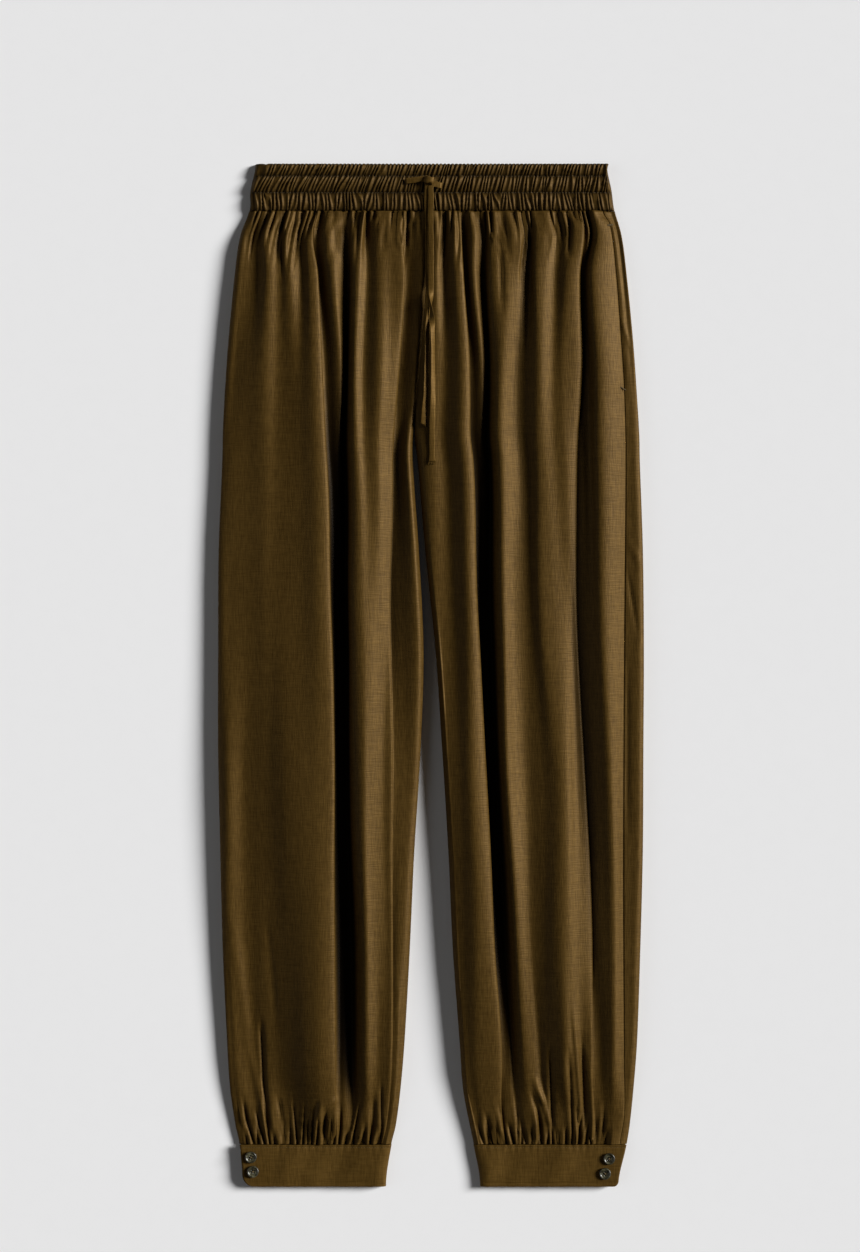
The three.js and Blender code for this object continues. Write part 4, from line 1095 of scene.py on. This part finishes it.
def makePocket(side):
    d = np.linspace(pocketShape["top"], pocketShape["bottom"], pocketShape["rows"])
    below = (d - pocketShape["top"] - pocketShape["widest"]) / pocketShape["halfDeep"]
    reach = pocketShape["reach"] * np.sqrt(np.maximum(pocketShape["leastSquare"], 1 - below**2))
    z = pocketShape["height"]
    if side == "right":
        seam = edgeAt("rightOuter", d) + underLap
        controls = [column(seam + 2, z), column(seam + reach / 2, z), column(seam + reach, z)]
    else:
        seam = seamAt(d)
        closed = smooth(pocketShape["closeFrom"], pocketShape["closeTo"], d)
        mouth = mix(edgeHeight("seam", d) - pocketNeck["underSeam"], z + 2, closed)
        controls = [column(seam - reach, z), column(seam - reach / 2, z),
                    column(seam - pocketNeck["from"], z),
                    column(seam - pocketNeck["bend"], mix(z, mouth, pocketNeck["rise"])),
                    column(seam - pocketNeck["end"], mouth)]
    controls = np.stack(controls, axis=1)
    section = sectionCurve(controls, stepsFor(controls, pocketShape["spacing"], 3))
    section[..., 1] = np.maximum(section[..., 1], pocketShape["lowest"])
    piece = clothShell(f"pocketing_{side}", section, d, pocketShape["cloth"], pocketing,
                       np.zeros(section.shape[:2]))
    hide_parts(f"pocket_{side}")
    return piece


pockets = {side: makePocket(side) for side in ("right", "left")}

tacks = {"upper": {"x0": 172.5, "x1": 178, "d0": 60.5, "d1": 60},
         "lower": {"x0": 185, "x1": 190, "d0": 219, "d1": 222}}
tackShape = {"threads": 11, "halfLength": 0.9, "slant": 0.2, "radius": 0.28, "ends": -0.25, "crown": 0.12}


def makeTack(name, tack):
    # a bar tack: close threads side by side across the end of the mouth
    top = topOf(frontLeft, backLeft)

    def at(t):
        return mix(tack["x0"], tack["x1"], t), mix(tack["d0"], tack["d1"], t)
    z = max(top(*at(t)) for t in np.linspace(0, 1, 6)) + 0.1
    count, slant, half = tackShape["threads"], tackShape["slant"], tackShape["halfLength"]
    stitches = []
    for k in range(count):
        x, d = at((k + 0.5) / count)
        stitches.append([(x + slant * way, length / 2 - d - half * way,
                          z + tackShape["ends" if way else "crown"]) for way in (-1, 0, 1)])
    return threadMesh(f"thread_pocket_{name}", stitches, tackShape["radius"])


for name, tack in tacks.items():
    makeTack(name, tack)
print("pockets ready")


# drawstring
knotShape = {"x": -2, "d": 17, "lift": 0.4, "reach": 3.9, "rise": 2.1, "middle": 2.9, "lean": 0.6,
             "sway": 0.56, "drop": 1.3, "side": (0.28, 1.0, 0.0), "wide": 3.3, "uneven": 0.5,
             "wall": 0.75, "ripple": 0.25, "turns": 48, "ring": 14}
tape = {"width": 5.4, "thick": 0.9, "step": 2.2, "evenOver": 7, "ring": 16, "flare": 0.25, "slant": 2.4}
# routes from the slit in the band to the free end; the first row of each end leaves the knot
tapeRoutes = {
    "left": {
        "nodes": ["drawstring_left_slit", "drawstring_left_end"],
        "slit": [(-25, 17.5, 0.2), (-21, 17.2, 0.9), (-15, 16.5, 1.2), (-8.2, 15.5, 1.2)],
        "knot": [(-4.5, 17, 1.6), (-3.4, 20.5, 1.2)],
        "end": [(-3.5, 24.6, 0.6), (-4, 34, 0.4), (-3.5, 52, 0.4), (-3, 75, 0.4), (-3, 100, 0.4),
                (-2.5, 125, 0.4), (-2.5, 145, 0.4), (-3.5, 165, 0.4), (-4, 185, 0.4), (-4.5, 205, 0.4),
                (-5, 225, 0.4), (-6.5, 242, 0.4), (-7.5, 256, 0.4)],
        "roll": {"d": [0, 118, 132, 146, 160, 200, 240, 256], "degrees": [0, 0, 60, 120, 150, 140, 160, 170]},
    },
    "right": {
        "nodes": ["drawstring_right_slit", "drawstring_right_end"],
        "slit": [(10.5, 22, 0.2), (8, 21.7, 0.8), (4.2, 20.6, 1.2)],
        "knot": [(2.1, 20.8, 2.4), (0.7, 21.7, 2.8)],
        "end": [(-0.4, 24.8, 2.2), (0, 34, 1.9), (-0.5, 52, 1.9), (0, 75, 1.9), (0, 100, 1.9), (0, 125, 1.9),
                (0.5, 145, 1.9), (1.5, 165, 1.9), (2, 185, 1.9), (2, 205, 1.9), (2, 225, 1.9),
                (1.5, 245, 1.9), (1, 260, 1.5), (1, 276, 0.9), (1, 292, 0.9)],
        "roll": {"d": [0, 122, 136, 150, 165, 205, 250, 292],
                 "degrees": [0, 0, -70, -150, -215, -220, -190, -180]},
    },
}


def highest(x, d):
    # the highest cloth near a point, so a tape laid there bridges the folds
    return max(clothTop(x + stepX, max(d + stepD, 1))
               for stepX in (-3.2, -1.6, 0, 1.6, 3.2) for stepD in (-8, -4, 0, 4, 8))


def tapePath(route):
    # the centre line laid over the cloth, with its height evened out, and the tape's roll along it
    rows = route["slit"] + route["knot"] + route["end"]
    rough = np.asarray([(x, length / 2 - d, highest(x, d) + lift + tape["thick"] / 2) for x, d, lift in rows])
    gaps = np.concatenate([[0], np.cumsum(np.linalg.norm(np.diff(rough, axis=0), axis=1))])
    places = np.arange(0, gaps[-1], tape["step"])
    places[-1] = gaps[-1]
    path = np.stack([curveAt(gaps, rough[:, k], places) for k in range(3)], axis=-1)
    span = tape["evenOver"]
    path[:, 2] = np.convolve(np.pad(path[:, 2], span // 2, mode="edge"), np.ones(span) / span, mode="valid")
    roll = np.radians(curveAt(route["roll"]["d"], route["roll"]["degrees"], length / 2 - path[:, 1]))
    path[:, 2] += np.abs(np.sin(roll)) * tape["width"] * 0.3
    return path, roll


def roundedRing(count, across, over):
    # points round an oval, drawn out towards a rectangle by powers below one
    turns = [2 * math.pi * k / count for k in range(count)]
    return [(math.copysign(abs(math.cos(turn)) ** across, math.cos(turn)),
             math.copysign(abs(math.sin(turn)) ** over, math.sin(turn))) for turn in turns]


def makeTape(side, route):
    path, roll = tapePath(route)
    along, across, over = frames(path)
    across = -across
    section = roundedRing(tape["ring"], 0.45, 0.7)
    points = []
    last = len(path) - 1
    for i, place in enumerate(path):
        width = tape["width"] * (1 + 0.04 * math.sin(i * 0.7))
        if side == "right":                                  # the cut end spreads a little
            width *= 1 + tape["flare"] * max(0, 1 - (last - i) / 3)
        c, s = math.cos(roll[i]), math.sin(roll[i])
        for u, v in section:
            aside = u * width / 2
            lift = v * tape["thick"] / 2 * (1 - 0.3 * abs(u))
            point = place + across[i] * (aside * c - lift * s) + over[i] * (aside * s + lift * c)
            if side == "left" and i == last:                 # cut on a slant
                point = point - along[i] * tape["slant"] * u
            points.append(point)
    ring = len(section)
    lastRing = last * ring
    caps = [(0, k, k + 1) for k in range(1, ring - 1)]
    caps += [(lastRing, lastRing + k + 1, lastRing + k) for k in range(1, ring - 1)]
    piece = finishMesh(f"tape_{side}", np.asarray(points) * mm, tubeQuads(len(path), ring),
                       np.zeros(len(points)), tapeSatin, caps)
    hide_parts(*route["nodes"])
    return piece, path, across


def makeKnot():
    # a single flat loop drawn tight round both tapes
    base = highest(knotShape["x"], knotShape["d"]) + knotShape["lift"]
    centre = np.array([knotShape["x"], length / 2 - knotShape["d"], base])
    side = np.array(knotShape["side"])
    side /= np.linalg.norm(side)
    ring, turns = knotShape["ring"], knotShape["turns"]
    points = []
    for turn in range(turns):
        t = 2 * math.pi * turn / turns
        ax, az = math.cos(t), math.sin(t)
        spine = np.array([ax * knotShape["reach"] + az * knotShape["lean"],
                          math.sin(t * 2) * knotShape["sway"] - ax * knotShape["drop"],
                          knotShape["middle"] + az * knotShape["rise"]])
        outward = np.array([ax, -0.2 * ax, az])
        outward /= np.linalg.norm(outward)
        wide = knotShape["wide"] + knotShape["uneven"] * math.sin(t * 3 + 1)
        for k in range(ring):
            angle = 2 * math.pi * k / ring
            u, v = math.cos(angle), math.sin(angle)
            wall = knotShape["wall"] * v * (1 + knotShape["ripple"] * math.cos(angle * 3))
            points.append(centre + spine + side * wide * math.copysign(abs(u) ** 0.6, u) + outward * wall)
    piece = finishMesh("tape_knot", np.asarray(points) * mm, tubeQuads(turns, ring, loop=True),
                       np.zeros(len(points)), tapeSatin)
    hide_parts("drawstring_knot")
    return piece


knot = makeKnot()
rightTape, rightPath, rightAcross = makeTape("right", tapeRoutes["right"])
leftTape, leftPath = makeTape("left", tapeRoutes["left"])[:2]

frayShape = {"strands": 16, "shortest": 2.2, "longest": 4.8, "bend": 0.8, "splay": 0.6, "droop": 0.6,
             "halfWidth": 3.4, "radius": 0.22}


def makeFray(path, across):
    # loose threads at the cut end of the right tape
    strands = []
    end, back = path[-1], path[-3]
    forward = (end - back) / np.linalg.norm(end - back)
    for k in range(frayShape["strands"]):
        u = (k + 0.5) / frayShape["strands"] * 2 - 1
        reach = mix(frayShape["shortest"], frayShape["longest"], random.uniform())
        bend = frayShape["bend"] * random.uniform(-1, 1) + u * frayShape["splay"]
        start = end - forward + across[-1] * u * frayShape["halfWidth"]
        curl = across[-1] * bend - np.array([0, 0, frayShape["droop"]])
        strands.append([start + forward * reach * t + curl * t * t for t in np.linspace(0, 1, 6)])
    return threadMesh("thread_fray", strands, frayShape["radius"], 4, tapeSatin)


fray = makeFray(rightPath, rightAcross)


def pathLength(path):
    return float(np.linalg.norm(np.diff(path, axis=0), axis=1).sum()) * mm


print("tape lengths", round(pathLength(rightPath), 4), round(pathLength(leftPath), 4))
(rightPath[0] * mm).tolist()
(rightPath * mm).tolist()
(leftPath[0] * mm).tolist()
(leftPath * mm).tolist()
print("drawstring ready")


def facesArea(piece):
    return sum(p.area for p in piece.data.polygons) / 2


legPanels = [frontRight, frontLeft, backRight, backLeft]
for piece in (*legPanels, bandFront, bandBack, *cuffs.values(), *pockets.values()):
    print("area", piece.name, round(facesArea(piece), 4), len(piece.data.polygons) * 2)


# floor and light
studio = {"sky": 0.025, "floorSize": 8}
lamps = {   # where each comes from, how high it stands, how soft and how strong it is
    "window": {"from": 15, "height": 26, "softness": 20, "strength": 6.0},
    "bounce": {"from": 184, "height": 24, "softness": 60, "strength": 0.42},
}


def makeFloor():
    half = studio["floorSize"] / 2
    mesh = bpy.data.meshes.new("floor")
    corners = [(-half, -half, 0), (half, -half, 0), (half, half, 0), (-half, half, 0)]
    mesh.from_pydata(corners, [], [(0, 1, 2, 3)])
    mesh.materials.append(makeFloorPaint(floorLook))
    floor = bpy.data.objects.new("floor", mesh)
    bpy.context.scene.collection.objects.link(floor)


def makeLamp(name, lamp):
    data = bpy.data.lights.new(name, "SUN")
    data.energy = lamp["strength"]
    data.angle = math.radians(lamp["softness"])
    data.color = (1.0, 0.998, 0.995)
    sun = bpy.data.objects.new(name, data)
    turn, up = math.radians(lamp["from"]), math.radians(lamp["height"])
    towards = Vector((math.cos(up) * math.cos(turn), math.cos(up) * math.sin(turn), math.sin(up)))
    sun.rotation_euler = towards.to_track_quat("Z", "Y").to_euler()
    bpy.context.scene.collection.objects.link(sun)


def makeSky():
    world = bpy.data.worlds.new("sky")
    world.use_nodes = True
    world.node_tree.nodes["Background"].inputs["Color"].default_value = (1, 1, 1, 1)
    world.node_tree.nodes["Background"].inputs["Strength"].default_value = studio["sky"]
    bpy.context.scene.world = world


makeFloor()
for name, lamp in lamps.items():
    makeLamp(name, lamp)
makeSky()
bpy.context.scene.view_settings.view_transform = "Standard"
print("studio ready")
